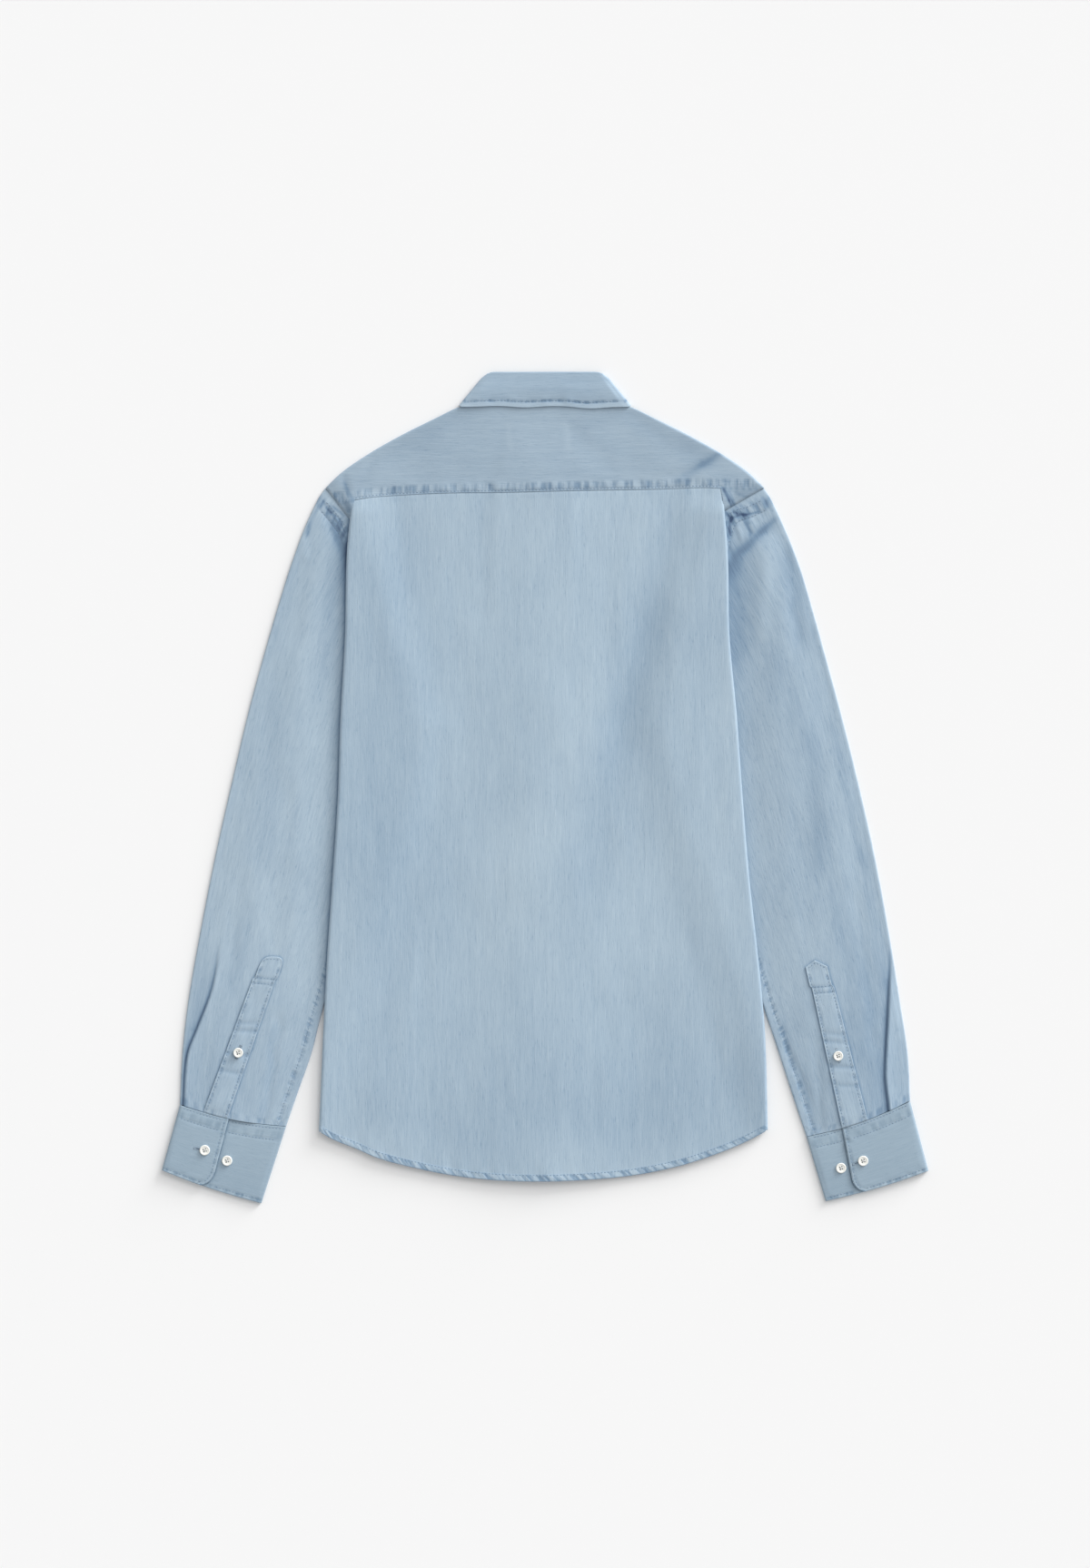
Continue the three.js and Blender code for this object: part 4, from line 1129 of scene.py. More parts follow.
def add_stage():
    """An even white sky and a pale floor."""
    bpy.context.scene.view_settings.view_transform = "Standard"
    world = bpy.data.worlds.new("studio")
    world.use_nodes = True
    background = world.node_tree.nodes["Background"]
    background.inputs["Color"].default_value = (1, 1, 1, 1)
    background.inputs["Strength"].default_value = SKY
    bpy.context.scene.world = world
    add_windows()
    corners = [(-1, -1), (1, -1), (1, 1), (-1, 1)]
    corners = [(x * FLOOR_HALF, y * FLOOR_HALF, -FLOOR_DOWN) for x, y in corners] - SHIFT / MM
    floor = build_mesh("floor", corners, [np.array([[0, 1, 2, 3]])], smooth=False)
    floor.data.materials.append(Nodes("floor").shade(Base_Color=(0.86, 0.86, 0.86, 1), Roughness=0.9))
    floor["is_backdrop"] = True


def path(points):
    """A smooth line through points, read at parts of its length, as X and Y."""
    points = np.array(points, float)
    lengths = np.hypot(*np.diff(points, axis=0).T)
    at = np.concatenate([[0], np.cumsum(lengths)]) / lengths.sum()
    rows = {"at": at, "x": points[:, 0], "y": points[:, 1]}
    across, down = reader(rows, "at", "x"), reader(rows, "at", "y")
    return lambda part: np.stack(np.broadcast_arrays(across(part), down(part)), -1)


def length_of(points):
    return float(np.hypot(*np.diff(np.array(points, float), axis=0).T).sum())


def from_line(x, y, points):
    """How far each point is from a line of straight stretches."""
    nearest = np.full(np.broadcast(x, y).shape, np.inf)
    for start, end in zip(points[:-1], points[1:]):
        run = end - start
        share = np.clip(((x - start[0]) * run[0] + (y - start[1]) * run[1]) / (run @ run), 0, 1)
        nearest = np.minimum(nearest, np.hypot(x - start[0] - share * run[0], y - start[1] - share * run[1]))
    return nearest


YOKE_STEP = 2.4
ON_SLEEVE = 2.85
SHOULDER_FROM = 76.0
SHOULDER_END = 196.0
STRIP_TURN_X = 184.0
BEND_TURNS = np.radians([22, 45, 67, 90, 112, 135, 157])


def yoke_ends(side):
    """Where the yoke's columns start at the seam and end at the shoulder."""
    reach = np.linspace(0, SHOULDER_END, int(SHOULDER_END / YOKE_STEP) + 1)
    share = np.interp(reach, YOKE_COLUMNS["top"], YOKE_COLUMNS["seam"])
    seam_x = side["sign"] * share * axis_x(side, HIGH_Y)
    seams = np.stack([seam_x, seam_height(seam_x)], -1)
    corner = np.array([(abs(seams[-1, 0]), seams[-1, 1]), *side["corner"]]).T
    steps = np.linspace(0, 1, 8)[1:]
    extra_x, extra_y = [np.interp(steps, [0, 0.5, 1], line) for line in corner]
    seams = np.concatenate([seams, np.stack([extra_x * side["sign"], extra_y], -1)])
    tops = np.concatenate([reach, mix(SHOULDER_END, YOKE_TIP, steps)])
    return seams, side["sign"] * tops, yoke_top(tops)


def strip_way(side, distance, top_y):
    """The way and length of the yoke's front strip, down from the shoulder fold."""
    slope = (yoke_top(distance + 2) - yoke_top(distance - 2)) / 4
    length = np.hypot(1, slope)
    share = np.clip((distance - STRIP_TURN_X) / (YOKE_TIP - STRIP_TURN_X), 0, 1)
    x = mix(slope / length * YOKE_STRIP, side["front_end"][0] - distance, share)
    y = mix(-YOKE_STRIP / length, side["front_end"][1] - top_y, share)
    reach = np.hypot(x, y)
    return side["sign"] * x / reach, y / reach, reach


def yoke_level(side, x, y):
    beyond = ease(0, 12, np.abs(x) - side["fold"](y)) * (1 - ease(272, 304, y))
    level = mix(yoke_height(x, y), 3.2, beyond)
    edge = np.array([side["corner"][-1], (YOKE_TIP, float(yoke_top(YOKE_TIP)))])
    return mix(level, ON_SLEEVE, bell(from_line(np.abs(x), y, edge), 6))


def yoke_half(side):
    seams, top_x, top_y = yoke_ends(side)
    distance = np.abs(top_x)
    way_x, way_y, reach = strip_way(side, distance, top_y)
    high = yoke_level(side, top_x, top_y)
    low = CLOTH / 2 + (COLLAR_CLOTH + GAP) * (1 - ease(96, 130, distance))
    bend = (high - low) / 2
    radius = np.where(distance > SHOULDER_FROM, bend + CLOTH / 2, 0)
    first = np.array([0, 0.4, 0.9, 1.4, 1.9, 2.4, 3.0, 4.2, 5.6]) / 100
    parts = np.concatenate([first, np.linspace(0.075, 1, 48)])
    rows = []
    for part in parts:
        x = mix(seams[:, 0], top_x + way_x * radius, part)
        y = mix(seams[:, 1] + GAP, top_y + way_y * radius, part)
        rows.append(vector(x, y, yoke_level(side, x, y)))
    for angle in BEND_TURNS:
        inset = bend + CLOTH / 2 - bend * math.sin(angle)
        z = (high + low) / 2 + bend * math.cos(angle)
        rows.append(vector(top_x + way_x * inset, top_y + way_y * inset, z))
    for part in np.linspace(0, 1, 9):
        inset = bend + CLOTH / 2 + part * (reach - 3)
        rows.append(vector(top_x + way_x * inset, top_y + way_y * inset, low))
    return np.stack(rows), len(parts)


def make_yoke():
    left, main = yoke_half(SIDES["left"])
    right, _ = yoke_half(SIDES["right"])
    grid = np.concatenate([left[:, ::-1], right[:, 1:]], 1)
    shoulder = np.abs(grid[main - 1, :, 0]) > SHOULDER_FROM
    has = np.ones((grid.shape[0] - 1, grid.shape[1] - 1), bool)
    has[main - 1:] = shoulder[:-1] & shoulder[1:]
    x, y = grid[..., 0], grid[..., 1]
    over = y - seam_height(x)
    # Painted shade in creases and along the lower edge on the back, with bluer wear.
    fade = 0.06 * creased(x, y, YOKE_CREASES) + creased(x, y, YOKE_SHADE_AND_WEAR) + 0.3 * bell(over, 0.8)
    return shell("yoke.back", grid, has=has, cloth=vector(x * MM, y * MM, 0.5),
                 seam=beside_stitches((over - 5.2, x, 4.6, 0.62)), fade=fade)


def make_strip():
    y = np.linspace(float(hem_height(0)) + FRONT_HEM_UP, FRONT_NECK_Y - 1, 70)[:, None]
    x, y = np.broadcast_arrays(np.linspace(-16, 16, 9)[None, :], y)
    return shell("placket.front", vector(x, y, STRIP_LEVEL), cloth=vector(x * MM, y * MM, 0.7),
                 seam=beside_stitches((np.abs(x) - 13, y, 2.5, 0.6)), fade=0 * x)


SLANT = np.array([COLLAR_LOW[0] - COLLAR_TOP[0], COLLAR_LOW[1] - COLLAR_TOP[1]])
COLLAR_OUT = np.array([-SLANT[1], SLANT[0]]) / math.hypot(*SLANT)
COLLAR_ROW = 5.5
COLLAR_TALL = 34.0
CORNER_CUT = (1.3, 1.7)
CORNER_FROM = 0.86
COLLAR_SIDE = 0.93


def collar_low(x):
    """The lower edge of the collar's back part, a slightly waved line."""
    wave = -1.6 * bell(x - 44, 16) + 0.8 * bell(x - 10, 20) + 0.9 * bell(x + 46, 18) - 0.7 * bell(x + 20, 14)
    return COLLAR["outer_y"][0] + wave * (1 - ease(66, 80, np.abs(x)))


def collar_relief(x, y, low):
    """Creases, puckers and the bulge of the collar's back part."""
    edge = y - low
    rise = pucker(x, edge - COLLAR_ROW, 7.5, 5, 0.35, 31)
    rise = rise + 0.35 * waves(x, y * 1.4, 34, 32) + 0.12 * waves(x, y, 11, 33)
    return rise - 0.3 * bell(edge - COLLAR_ROW, 1.3) + 0.8 * bell(edge - 16, 11)


def collar_piece(name, low, back_low, lift, front_level, ends, rows, relief):
    """A collar piece: a back part, a fold on each side and two front parts."""
    tops, lows, necks = [list(zip(COLLAR[key + "_x"], COLLAR[key + "_y"])) for key in ("fall", low, "neck")]
    if ends:
        tops.append(ends["fall"])
        lows.append(ends["neck"])
        necks.append(ends["neck"])
    levels = [front_level(neck_x) for neck_x, _ in necks]
    corner_x, corner_y = tops[0][0] + CORNER_CUT[0], tops[0][1] - CORNER_CUT[1]
    v = 1 - np.linspace(1, 0, rows) ** 1.4

    def half(sign):
        columns = []
        for part in np.linspace(0, 1, 46):
            edge = back_low(lows[0][0] * part * sign)
            past = np.clip((part - CORNER_FROM) / (1 - CORNER_FROM), 0, 1)
            x = mix(corner_x, lows[0][0], v) * part * sign
            y = mix(tops[0][1] - CORNER_CUT[1] * (1 - math.sqrt(1 - past * past)), edge, v)
            columns.append(vector(x, y, lift + relief(x, y, edge) * (1 - ease(COLLAR_SIDE, 1, part))))
        root = np.stack([mix(corner_x, lows[0][0], v), mix(corner_y, lows[0][1], v)], -1)
        bulge = 0.25 + 0.75 * ease(0, 0.2, v)
        first = levels[0][sign > 0]
        for angle in FOLD_ANGLES:
            out = (lift - first) / 2 * math.sin(angle) * bulge
            z = (lift + first) / 2 + (lift - first) / 2 * math.cos(angle)
            columns.append(vector((root[:, 0] + COLLAR_OUT[0] * out) * sign,
                                  root[:, 1] + COLLAR_OUT[1] * out, z))
        top_path, low_path = path([(corner_x, corner_y)] + tops[1:]), path(lows)
        for part in np.linspace(0, 1, 34):
            a, b = top_path(part), low_path(part)
            at = part * (len(levels) - 1)
            z = np.interp(at, range(len(levels)), [level[sign > 0] for level in levels])
            columns.append(vector(mix(a[0], b[0], v) * sign, mix(a[1], b[1], v), z))
        return columns

    columns = half(-1)[::-1] + half(1)[1:]
    grid = np.stack(columns, 1)[::-1]
    x, y = grid[..., 0], grid[..., 1]
    from_edge = (1 - v[::-1])[:, None] * COLLAR_TALL
    seam = beside_stitches((from_edge - COLLAR_ROW, x + 0 * y, 1.8, 0.6))
    cloth = vector(x * MM, y * MM, 0.9)
    # A painted highlight along the lower edge and painted shade along the row of stitches.
    fade = 0.03 - 0.2 * (1 - ease(1.5, 5, from_edge)) + 0.25 * bell(from_edge - COLLAR_ROW, 1.0)
    return shell(name, grid, thick=COLLAR_CLOTH, cloth=cloth, seam=seam, fade=fade + 0 * x)


def make_collar():
    leaf = collar_piece(
        "collar.leaf", "outer", collar_low, LEAF_BACK, lambda neck: (LEAF_FRONT, LEAF_FRONT),
        None, 34, collar_relief)
    stand = collar_piece(
        "collar.stand", "neck", lambda x: max(float(yoke_top(abs(x))) + GAP + 0.1, COLLAR["neck_y"][0]),
        STAND_BACK, stand_levels, STAND_END, 8, lambda x, y, low: 0 * x)
    return leaf, stand


def stand_levels(neck_x):
    """The stand's height on the left and on the right side of the front."""
    part = 1 - ease(14, 28, neck_x)
    raised = STAND_FRONT + 1.0
    return mix(STAND_FRONT, raised, part), mix(STAND_FRONT, raised + COLLAR_CLOTH + GAP, part)


SLEEVE_STEP = 2.9
FINE_REACH = 66.0
FINE_STEP = 0.8
BAND = 16.0
FIRST_ROW = 6.4
UNDERARM_SEAM = 8.0
EDGE_BEND = (SLEEVE_FLAT - CLOTH) / 2
TUCK = 5.0
EDGE_TUCK = 2.6
TUCK_WAY = (0.78, 0.63)
CREVICE_SHADOW_Y = 218.0
SLEEVE_WIDE = 105.0


def placket_shadow_line(side, x, y):
    """A thin painted shadow line round the place where a placket lies on its sleeve."""
    up = np.concatenate([np.linspace(0, 1, 12), [1.5]])
    across = np.concatenate([0 * up, np.linspace(0, 1, 15), 0 * up + 1])
    part = np.concatenate([up, np.full(15, 2.0), up[::-1]])
    outline = np.stack(placket_spot(side, part, across), -1)
    return 0.42 * bell(from_line(x, y, outline), 1.3)


class Sleeve:
    """A sleeve's top as it lies, read at parts of its length and of its width."""

    def __init__(self, side):
        self.side = side
        self.outer, self.inner = path(side["outer"]), path(side["inner"])
        self.armhole = path(side["armhole"])
        self.long = length_of(side["outer"])

    def plan(self, s, part, out=0.0, tuck=0.0):
        """Where a place is, seen from above.

        out moves it past the edge, and tuck slips the armhole end under the yoke.
        """
        s, part, out = np.broadcast_arrays(s, part, out)
        o, i = self.outer(s), self.inner(s)
        width = np.hypot(*np.moveaxis(i - o, -1, 0))
        outwards = (o - i) / width[..., None]
        inset = EDGE_BEND + CLOTH / 2
        share = ((inset + part * (width - 2 * inset)) / width)[..., None]
        start, end = self.armhole(0.0), self.armhole(1.0)
        bow = (1 - ease(0, 0.16, s))[..., None]
        seam = self.armhole(share[..., 0]) - mix(start, end, share)
        spot = mix(o, i, share) + seam * bow + outwards * out[..., None]
        off = (GAP + 0.3 - tuck * TUCK_WAY[0]) * (1 - ease(0, 0.012 if np.any(tuck) else 0.05, s))
        rise = tuck * TUCK_WAY[1] * (1 - ease(0, 0.012, s))
        drop = CUFF_BOW * np.sin(math.pi * part) * ease(0.88, 1, s)
        x = self.side["sign"] * (spot[..., 0] + off)
        return x, spot[..., 1] + rise - drop, width

    def top(self, s, part):
        """Points on the middle of the top layer, and their painted shade and wear."""
        s, part = np.broadcast_arrays(s, part)
        edge = np.minimum(part, 1 - part)
        keep = ease(0, 0.045, edge)
        x, y, width = self.plan(s, part, tuck=mix(EDGE_TUCK, TUCK, ease(0, 0.03, edge)))
        along = s * self.long
        level = sleeve_height(x, y)
        lift, shade = pleat(self.side["name"], x, y)
        band = 0.4 * (1 - ease(BAND - 0.6, BAND + 1.2, along))
        band = band - 0.35 * bell(along - BAND, 1.4)
        run = part * width
        gathers = pucker(run, along - BAND, 7, 6, 0.5, 41) + pucker(run, along - 10, 5, 5, 0.4, 43)
        ends = pucker(run, (1 - s) * self.long, 8, 14, 0.4, 42)
        under = (1 - part) * width - UNDERARM_SEAM
        seam = pucker(along, under, 7, 3.5, 0.3, 44) - 0.3 * bell(under, 1.2)
        z = mix(2.1, level + band + gathers + ends + seam + lift, ease(2.6, 7, along))
        flat = SLEEVE_FLAT - CLOTH / 2
        from_body = np.abs(x) - self.side["fold"](y)
        # Painted shade in creases, beside the pleat, round the placket, along the inner edge and beside the
        # body's fold, with bluer wear.
        fade = creased(x, y, SLEEVE_SHADE_AND_WEAR) + shade + placket_shadow_line(self.side, x, y) \
            + 0.05 * (1 - ease(2, 26, part * width)) + 0.1 * (1 - ease(0, 16, from_body))
        # Painted shadow on the sleeve beside the body's folded edge, deepest at one height and strong on the
        # left side, away from the light.
        deepest = bell(y - CREVICE_SHADOW_Y, 38)
        fade = fade + self.side["crevice"] * mix(0.55, 1.1, deepest) \
            * np.exp(-np.maximum(from_body, 0) / mix(1.5, 3.6, deepest))
        return vector(x, y, mix(flat, z, keep)), fade * ease(0, 0.015, edge)


def make_sleeve(side):
    """A flattened tube from the armhole to the cuff, with the armhole's felled band."""
    sleeve = Sleeve(side)
    long = sleeve.long
    near = np.arange(0, FINE_REACH, FINE_STEP) / long
    far = 1 - np.array([10, 7, 5, 3.5, 2, 1, 0]) / long
    stations = np.concatenate([near, np.linspace(near[-1], far[0], int(long / SLEEVE_STEP))[1:-1], far])
    s = stations[:, None]
    parts = np.concatenate([[0, 0.01, 0.02], np.linspace(0.032, 0.968, 104), [0.98, 0.99, 1]])
    turns = np.radians([30, 60, 90, 120, 150])
    low, high = CLOTH / 2, SLEEVE_FLAT - CLOTH / 2
    middle, radius = (low + high) / 2, EDGE_BEND

    def strip(part, out, z, tuck=EDGE_TUCK):
        x, y, _ = sleeve.plan(s, np.atleast_1d(part)[None, :], out, tuck)
        return vector(x, y, z)

    coarse = np.linspace(0, 1, 14)
    top, top_fade = sleeve.top(s, parts[None, ::-1])
    grid = np.concatenate([
        strip(coarse, 0.0, low, 0.0),
        strip(1.0, -radius * np.sin(turns)[None, :], middle - radius * np.cos(turns)[None, :]),
        top,
        strip(0.0, radius * np.sin(turns)[None, :], middle + radius * np.cos(turns)[None, :]),
    ], 1)
    x, y = grid[..., 0], grid[..., 1]
    across = np.concatenate([coarse, 1 + 0 * turns, parts[::-1], 0 * turns])[None, :]
    width = sleeve.plan(s, 0.0)[2]
    along = s * long + 0 * x
    seam = beside_stitches(((1 - across) * width - UNDERARM_SEAM, along, 3.6, 0.45),
                           (along - 11, across * width, 6.0, 0.6),
                           (long - along - 4, across * width, 4.5, 0.35))
    cloth = vector(across * SLEEVE_WIDE * MM + 0 * x, along * MM, 1.3)
    fade = np.zeros(x.shape)
    first = len(coarse) + len(turns)
    fade[:, first:first + len(parts)] = top_fade
    return shell("sleeve." + side["name"], grid, ring=True, cloth=cloth, seam=seam, fade=fade)


CUFF_TALL = 64.0
CUFF_WIDE = 105.0
CUFF_LOW = CUFF_CLOTH / 2
CUFF_UNDER = CUFF_LOW + CUFF_CLOTH + GAP
CUFF_FLAP = CUFF_UNDER + CUFF_CLOTH + GAP
CUFF_END = 0.24
FLAP_ROUND = 0.24
FLAP_WAVES = 52
UNDER_WAVES = 53
NO_ROW = 1000.0


def cuff_line(side, edge, share, bow):
    """A place on a cuff's upper or lower edge, at a part of the way to its inner side."""
    (outer_x, outer_y), (inner_x, inner_y) = side["cuff"][edge + "_outer"], side["cuff"][edge + "_inner"]
    return mix(outer_x, inner_x, share), mix(outer_y, inner_y, share) - np.sin(math.pi * share) * bow


def cuff_point(side, share, down):
    """A place on a cuff's outline, from its outer to its inner edge and downwards."""
    top_x, top_y = cuff_line(side, "top", share, CUFF_BOW)
    low_x, low_y = cuff_line(side, "low", share, CUFF_LOW_BOW)
    return side["sign"] * mix(top_x, low_x, down), mix(top_y, low_y, down) + mix(0.2, -GAP, down)


def flap_edge(side, down):
    """How far across the cuff its upper layer reaches, at parts of the way down."""
    past = np.clip((down - (1 - FLAP_ROUND)) / FLAP_ROUND, 0, 1)
    corner = (1 - np.sqrt(np.clip(1 - past * past, 0, 1))) * 0.15
    return mix(side["cuff"]["flap_top"], side["cuff"]["flap_low"], down) - corner


def cuff_relief(side, share, down, seed):
    """The cuff's rows of stitches, its thick edges and its slight waves."""
    below, above, across = (1 - down) * CUFF_TALL, down * CUFF_TALL, share * CUFF_WIDE
    inside = (flap_edge(side, down) - share) * CUFF_WIDE
    rise = 0.3 * waves(across, above, 30, seed) + 0.5 * np.sin(math.pi * down)
    for distance in (below - 3, above - 1.8, above - 11.5, inside - 3):
        rise = rise - 0.28 * bell(distance, 1.0) + pucker(across + above, distance, 5, 3.2, 0.22, 52)
    return rise


def make_cuff(side):
    """A band: its flap on top, round the outer edge, along the floor and up under the flap."""
    width = length_of([side["cuff"]["top_outer"], side["cuff"]["top_inner"]])
    outer_bend, inner_bend = (CUFF_FLAP - CUFF_LOW) / 2, (CUFF_UNDER - CUFF_LOW) / 2
    outer_axis = (outer_bend + CUFF_CLOTH / 2) / width
    inner_axis = 1 - (inner_bend + CUFF_CLOTH / 2) / width
    down = np.concatenate([[0, 0.01, 0.025], np.linspace(0.045, 0.955, 42), [0.975, 0.99, 1]])
    above, below = down * CUFF_TALL, (1 - down) * CUFF_TALL
    reach = flap_edge(side, down)
    lines, seams, outsides = [], [], []

    def add(share, z, row=NO_ROW):
        share = np.broadcast_to(share, down.shape)
        inside = (reach - share) * width
        lines.append(vector(*cuff_point(side, share, down), z))
        outsides.append(-np.minimum(inside, below))
        seams.append(beside_stitches((below - 2.0, share * width, 2.0, 0.5),
                                     (above - 8, share * width, 4.5, 0.22),
                                     (inside - 2.8 + row, above, 2.4, 0.3)))

    for step in np.linspace(1, 0, 44):
        share = mix(outer_axis, flap_edge(side, down * 0.985), step)
        add(share, CUFF_FLAP + cuff_relief(side, share, down, FLAP_WAVES) * ease(0, 0.05, step), 0.0)
    for angle in BEND_TURNS:
        z = (CUFF_FLAP + CUFF_LOW) / 2 + outer_bend * math.cos(angle)
        add(outer_axis - outer_bend * math.sin(angle) / width, z)
    for share in np.linspace(outer_axis, inner_axis, 24):
        add(share, CUFF_LOW)
    for angle in BEND_TURNS:
        z = (CUFF_UNDER + CUFF_LOW) / 2 - inner_bend * math.cos(angle)
        add(inner_axis + inner_bend * math.sin(angle) / width, z)
    for share in np.linspace(inner_axis, CUFF_END, 64):
        shown = ease(0, 0.04, inner_axis - share) * ease(-0.02, 0.03, share - reach)
        add(share, CUFF_UNDER + cuff_relief(side, share, down, UNDER_WAVES) * shown, 0.0)
        outsides[-1] = (share - reach) * width + 0.3
    along = np.linspace(0, 0.25, len(lines))[:, None]
    outside = np.stack(outsides)
    # A painted shadow on the under layer just outside the flap's edge, and a painted highlight just inside
    # it.
    fade = 0.02 + 0.55 * bell(np.maximum(outside, 0), 1.3) * (outside > 0) - 0.16 * bell(outside + 1.2, 1.0)
    return shell("cuff." + side["name"], np.stack(lines), thick=CUFF_CLOTH,
                 cloth=vector(along, above * MM, 1.7), seam=np.stack(seams), fade=fade)


PLACKET_LONG = 138.0
PLACKET_WIDE = 22.0
PLACKET_ROW = 2.2
BOX_PART = 0.94
CROSS_ROWS = (0.94, 0.9)
TIP_ROWS = 16
ROUND_RISE = 14.0
GABLE_SIDE = 11.0
GABLE_RISE = 6.5
PLACKET_CREASES = [(34, 0.35), (52, 0.5), (76, 0.4), (84, 0.3)]
PLACKET_LIFT = 0.6
FACING = 0.6


def placket_end(side, across):
    """How far the placket's end rises above its upper corners, across its width."""
    from_middle = np.abs(2 * across - 1)
    if side["placket"]["end"] == "round":
        return ROUND_RISE * np.clip(1 - from_middle ** 3.2, 0.002, 1) ** (1 / 3.2)
    return GABLE_SIDE + GABLE_RISE * (1 - from_middle)


def placket_spot(side, part, across):
    """A place on the placket, from its lower end up and from its outer edge in.

    part is 1 at the upper corners and 2 at the end's outline. At 0 the strip is at its
    lower corners, and below that it runs on to the cuff.
    """
    place = side["placket"]
    corner = lambda key: np.array(place[key], float)
    part, across = np.broadcast_arrays(part, across)
    p, a = part[..., None], across[..., None]
    low = mix(corner("low_outer"), corner("low_inner"), a)
    top = mix(corner("top_outer"), corner("top_inner"), a)
    up = (corner("top_outer") + corner("top_inner") - corner("low_outer") - corner("low_inner")) / 2
    up = up / np.hypot(*up)
    spot = mix(low, top, np.minimum(p, 1))
    spot = spot + up * (placket_end(side, across) * np.clip(part - 1, 0, 1))[..., None]
    shift = place["box"] * ease(BOX_PART - 0.005, BOX_PART + 0.005, part)
    return side["sign"] * (spot[..., 0] - shift), spot[..., 1] + 1


def cuff_edge(side, x):
    """The height of a cuff's upper edge at a place across the shirt."""
    outer_x, inner_x = side["cuff"]["top_outer"][0], side["cuff"]["top_inner"][0]
    share = np.clip((outer_x - np.abs(x)) / (outer_x - inner_x), 0, 1)
    return cuff_line(side, "top", share, CUFF_BOW)[1]


def placket_low(side, across):
    """The part at which the strip meets the cuff's upper edge."""
    part = np.zeros(np.shape(across))
    for _ in range(4):
        x, y = placket_spot(side, part, across)
        part = part - (y - cuff_edge(side, x) - 0.5) / PLACKET_LONG
    return part


def placket_run(side, part, across):
    """How far up the placket a place is."""
    return PLACKET_LONG * np.minimum(part, 1) + placket_end(side, across) * np.clip(part - 1, 0, 1)


def placket_inset(side, part, across):
    """How far inside the placket's outline a place is."""
    sides = (0.5 - np.abs(across - 0.5)) * PLACKET_WIDE
    tilt = 0.85 if side["placket"]["end"] == "gable" else 1.0
    above = np.clip(2 - part, 0, 1) * placket_end(side, across) * tilt
    return np.where(part > 1, np.minimum(sides, above), sides)


def placket_height(side, part, across):
    """The middle of the placket as it lies, with its rows of stitches and its creases."""
    x, y = placket_spot(side, part, across)
    run = placket_run(side, part, across)
    distance = placket_inset(side, part, across) - PLACKET_ROW
    rise = pucker(run + 40 * (across > 0.5), distance, 8, 3.5, 0.2, 61) - 0.2 * bell(distance, 0.9)
    for row in CROSS_ROWS:
        rise = rise - 0.3 * bell((part - row) * PLACKET_LONG, 1.0)
    rise = rise + 0.25 * waves(x, y, 16, 62)
    for crease, deep in PLACKET_CREASES:
        rise = rise - deep * bell(run - crease - 6 * (across - 0.5), 2.6)
    above_cuff = y - cuff_edge(side, x)
    lift = PLACKET_LIFT * ease(-2, 10, above_cuff) + CLOTH * FACING
    return vector(x, y, sleeve_height(x, y) + lift + rise * ease(0, 6, above_cuff)), distance, run


def make_placket(side):
    """The strip round the sleeve's slit, with its round or gabled end."""
    turn = np.linspace(0, math.pi, 23)[None, :]
    across = mix(0.5 - 0.5 * np.cos(turn), turn / math.pi, 0.45)
    rows = np.concatenate([np.linspace(0, 1, 100), 1 + np.linspace(0, 1, TIP_ROWS)[1:]])[:, None]
    rows = rows + placket_low(side, across) * (1 - np.minimum(rows, 1))
    grid, distance, run = placket_height(side, rows, across)
    x, y = grid[..., 0], grid[..., 1]
    seam = beside_stitches((distance, run, 2.0, 0.35), ((rows - 0.92) * PLACKET_LONG, x, 5.0, 0.4),
                           (y - cuff_edge(side, x) - 3, x, 4, 0.4))
    # A painted highlight along the outline, and painted shade along the cross rows and in the creases.
    fade = 0.03 - 0.05 * bell(distance + PLACKET_ROW, 1.0) + 0 * x
    for row in CROSS_ROWS:
        fade = fade + 0.28 * bell((rows - row) * PLACKET_LONG, 0.9)
    for crease, deep in PLACKET_CREASES:
        fade = fade + 0.4 * deep * bell(run - crease - 6 * (across - 0.5), 2.0)
    cloth = vector((across - 0.5) * PLACKET_WIDE * MM + 0 * x, run * MM, 2.1)
    return shell("placket." + side["name"], grid, cloth=cloth, seam=seam, fade=fade)


STITCH_LONG = 2.5
STITCH_GAP = 0.8
THREAD_RADIUS = 0.33
TUBE_SIDES = 6
ON_CLOTH = np.array([0, 0, CLOTH / 2])


def capsules(starts, ends, radius, sink=0.0):
    """Short threads from starts to ends with pointed tips, as points and faces."""
    along = unit(ends - starts)
    across = unit(np.cross(along, (0, 0, 1.0)))
    turns = 2 * math.pi * np.arange(TUBE_SIDES)[:, None] / TUBE_SIDES
    ring = radius * (across[:, None] * np.cos(turns) + np.cross(across, along)[:, None] * np.sin(turns))
    down = np.array([0, 0, sink])
    rings = [(starts - down)[:, None], mix(starts, ends, 0.22)[:, None] + ring,
             mix(starts, ends, 0.78)[:, None] + ring, (ends - down)[:, None]]
    points = np.concatenate(rings, 1)
    count = points.shape[1]
    first = 1 + np.arange(TUBE_SIDES)
    second = first + TUBE_SIDES
    after, beyond = np.roll(first, -1), np.roll(second, -1)
    tip = 0 * first + count - 1
    parts = [(0 * first, after, first), (first, after, beyond, second), (second, beyond, tip)]
    offset = (np.arange(len(starts)) * count)[:, None, None]
    faces = [(np.stack(part, -1)[None] + offset).reshape(-1, len(part)) for part in parts]
    return points.reshape(-1, 3), faces


def joined_threads(name, parts, material):
    """One mesh out of many groups of threads."""
    points, groups, offset = [], [[], [], []], 0
    for some, faces in parts:
        for group, face in zip(groups, faces):
            group.append(face + offset)
        points.append(some)
        offset += len(some)
    piece = build_mesh(name, np.concatenate(points), [np.concatenate(group) for group in groups])
    set_up(piece, material)


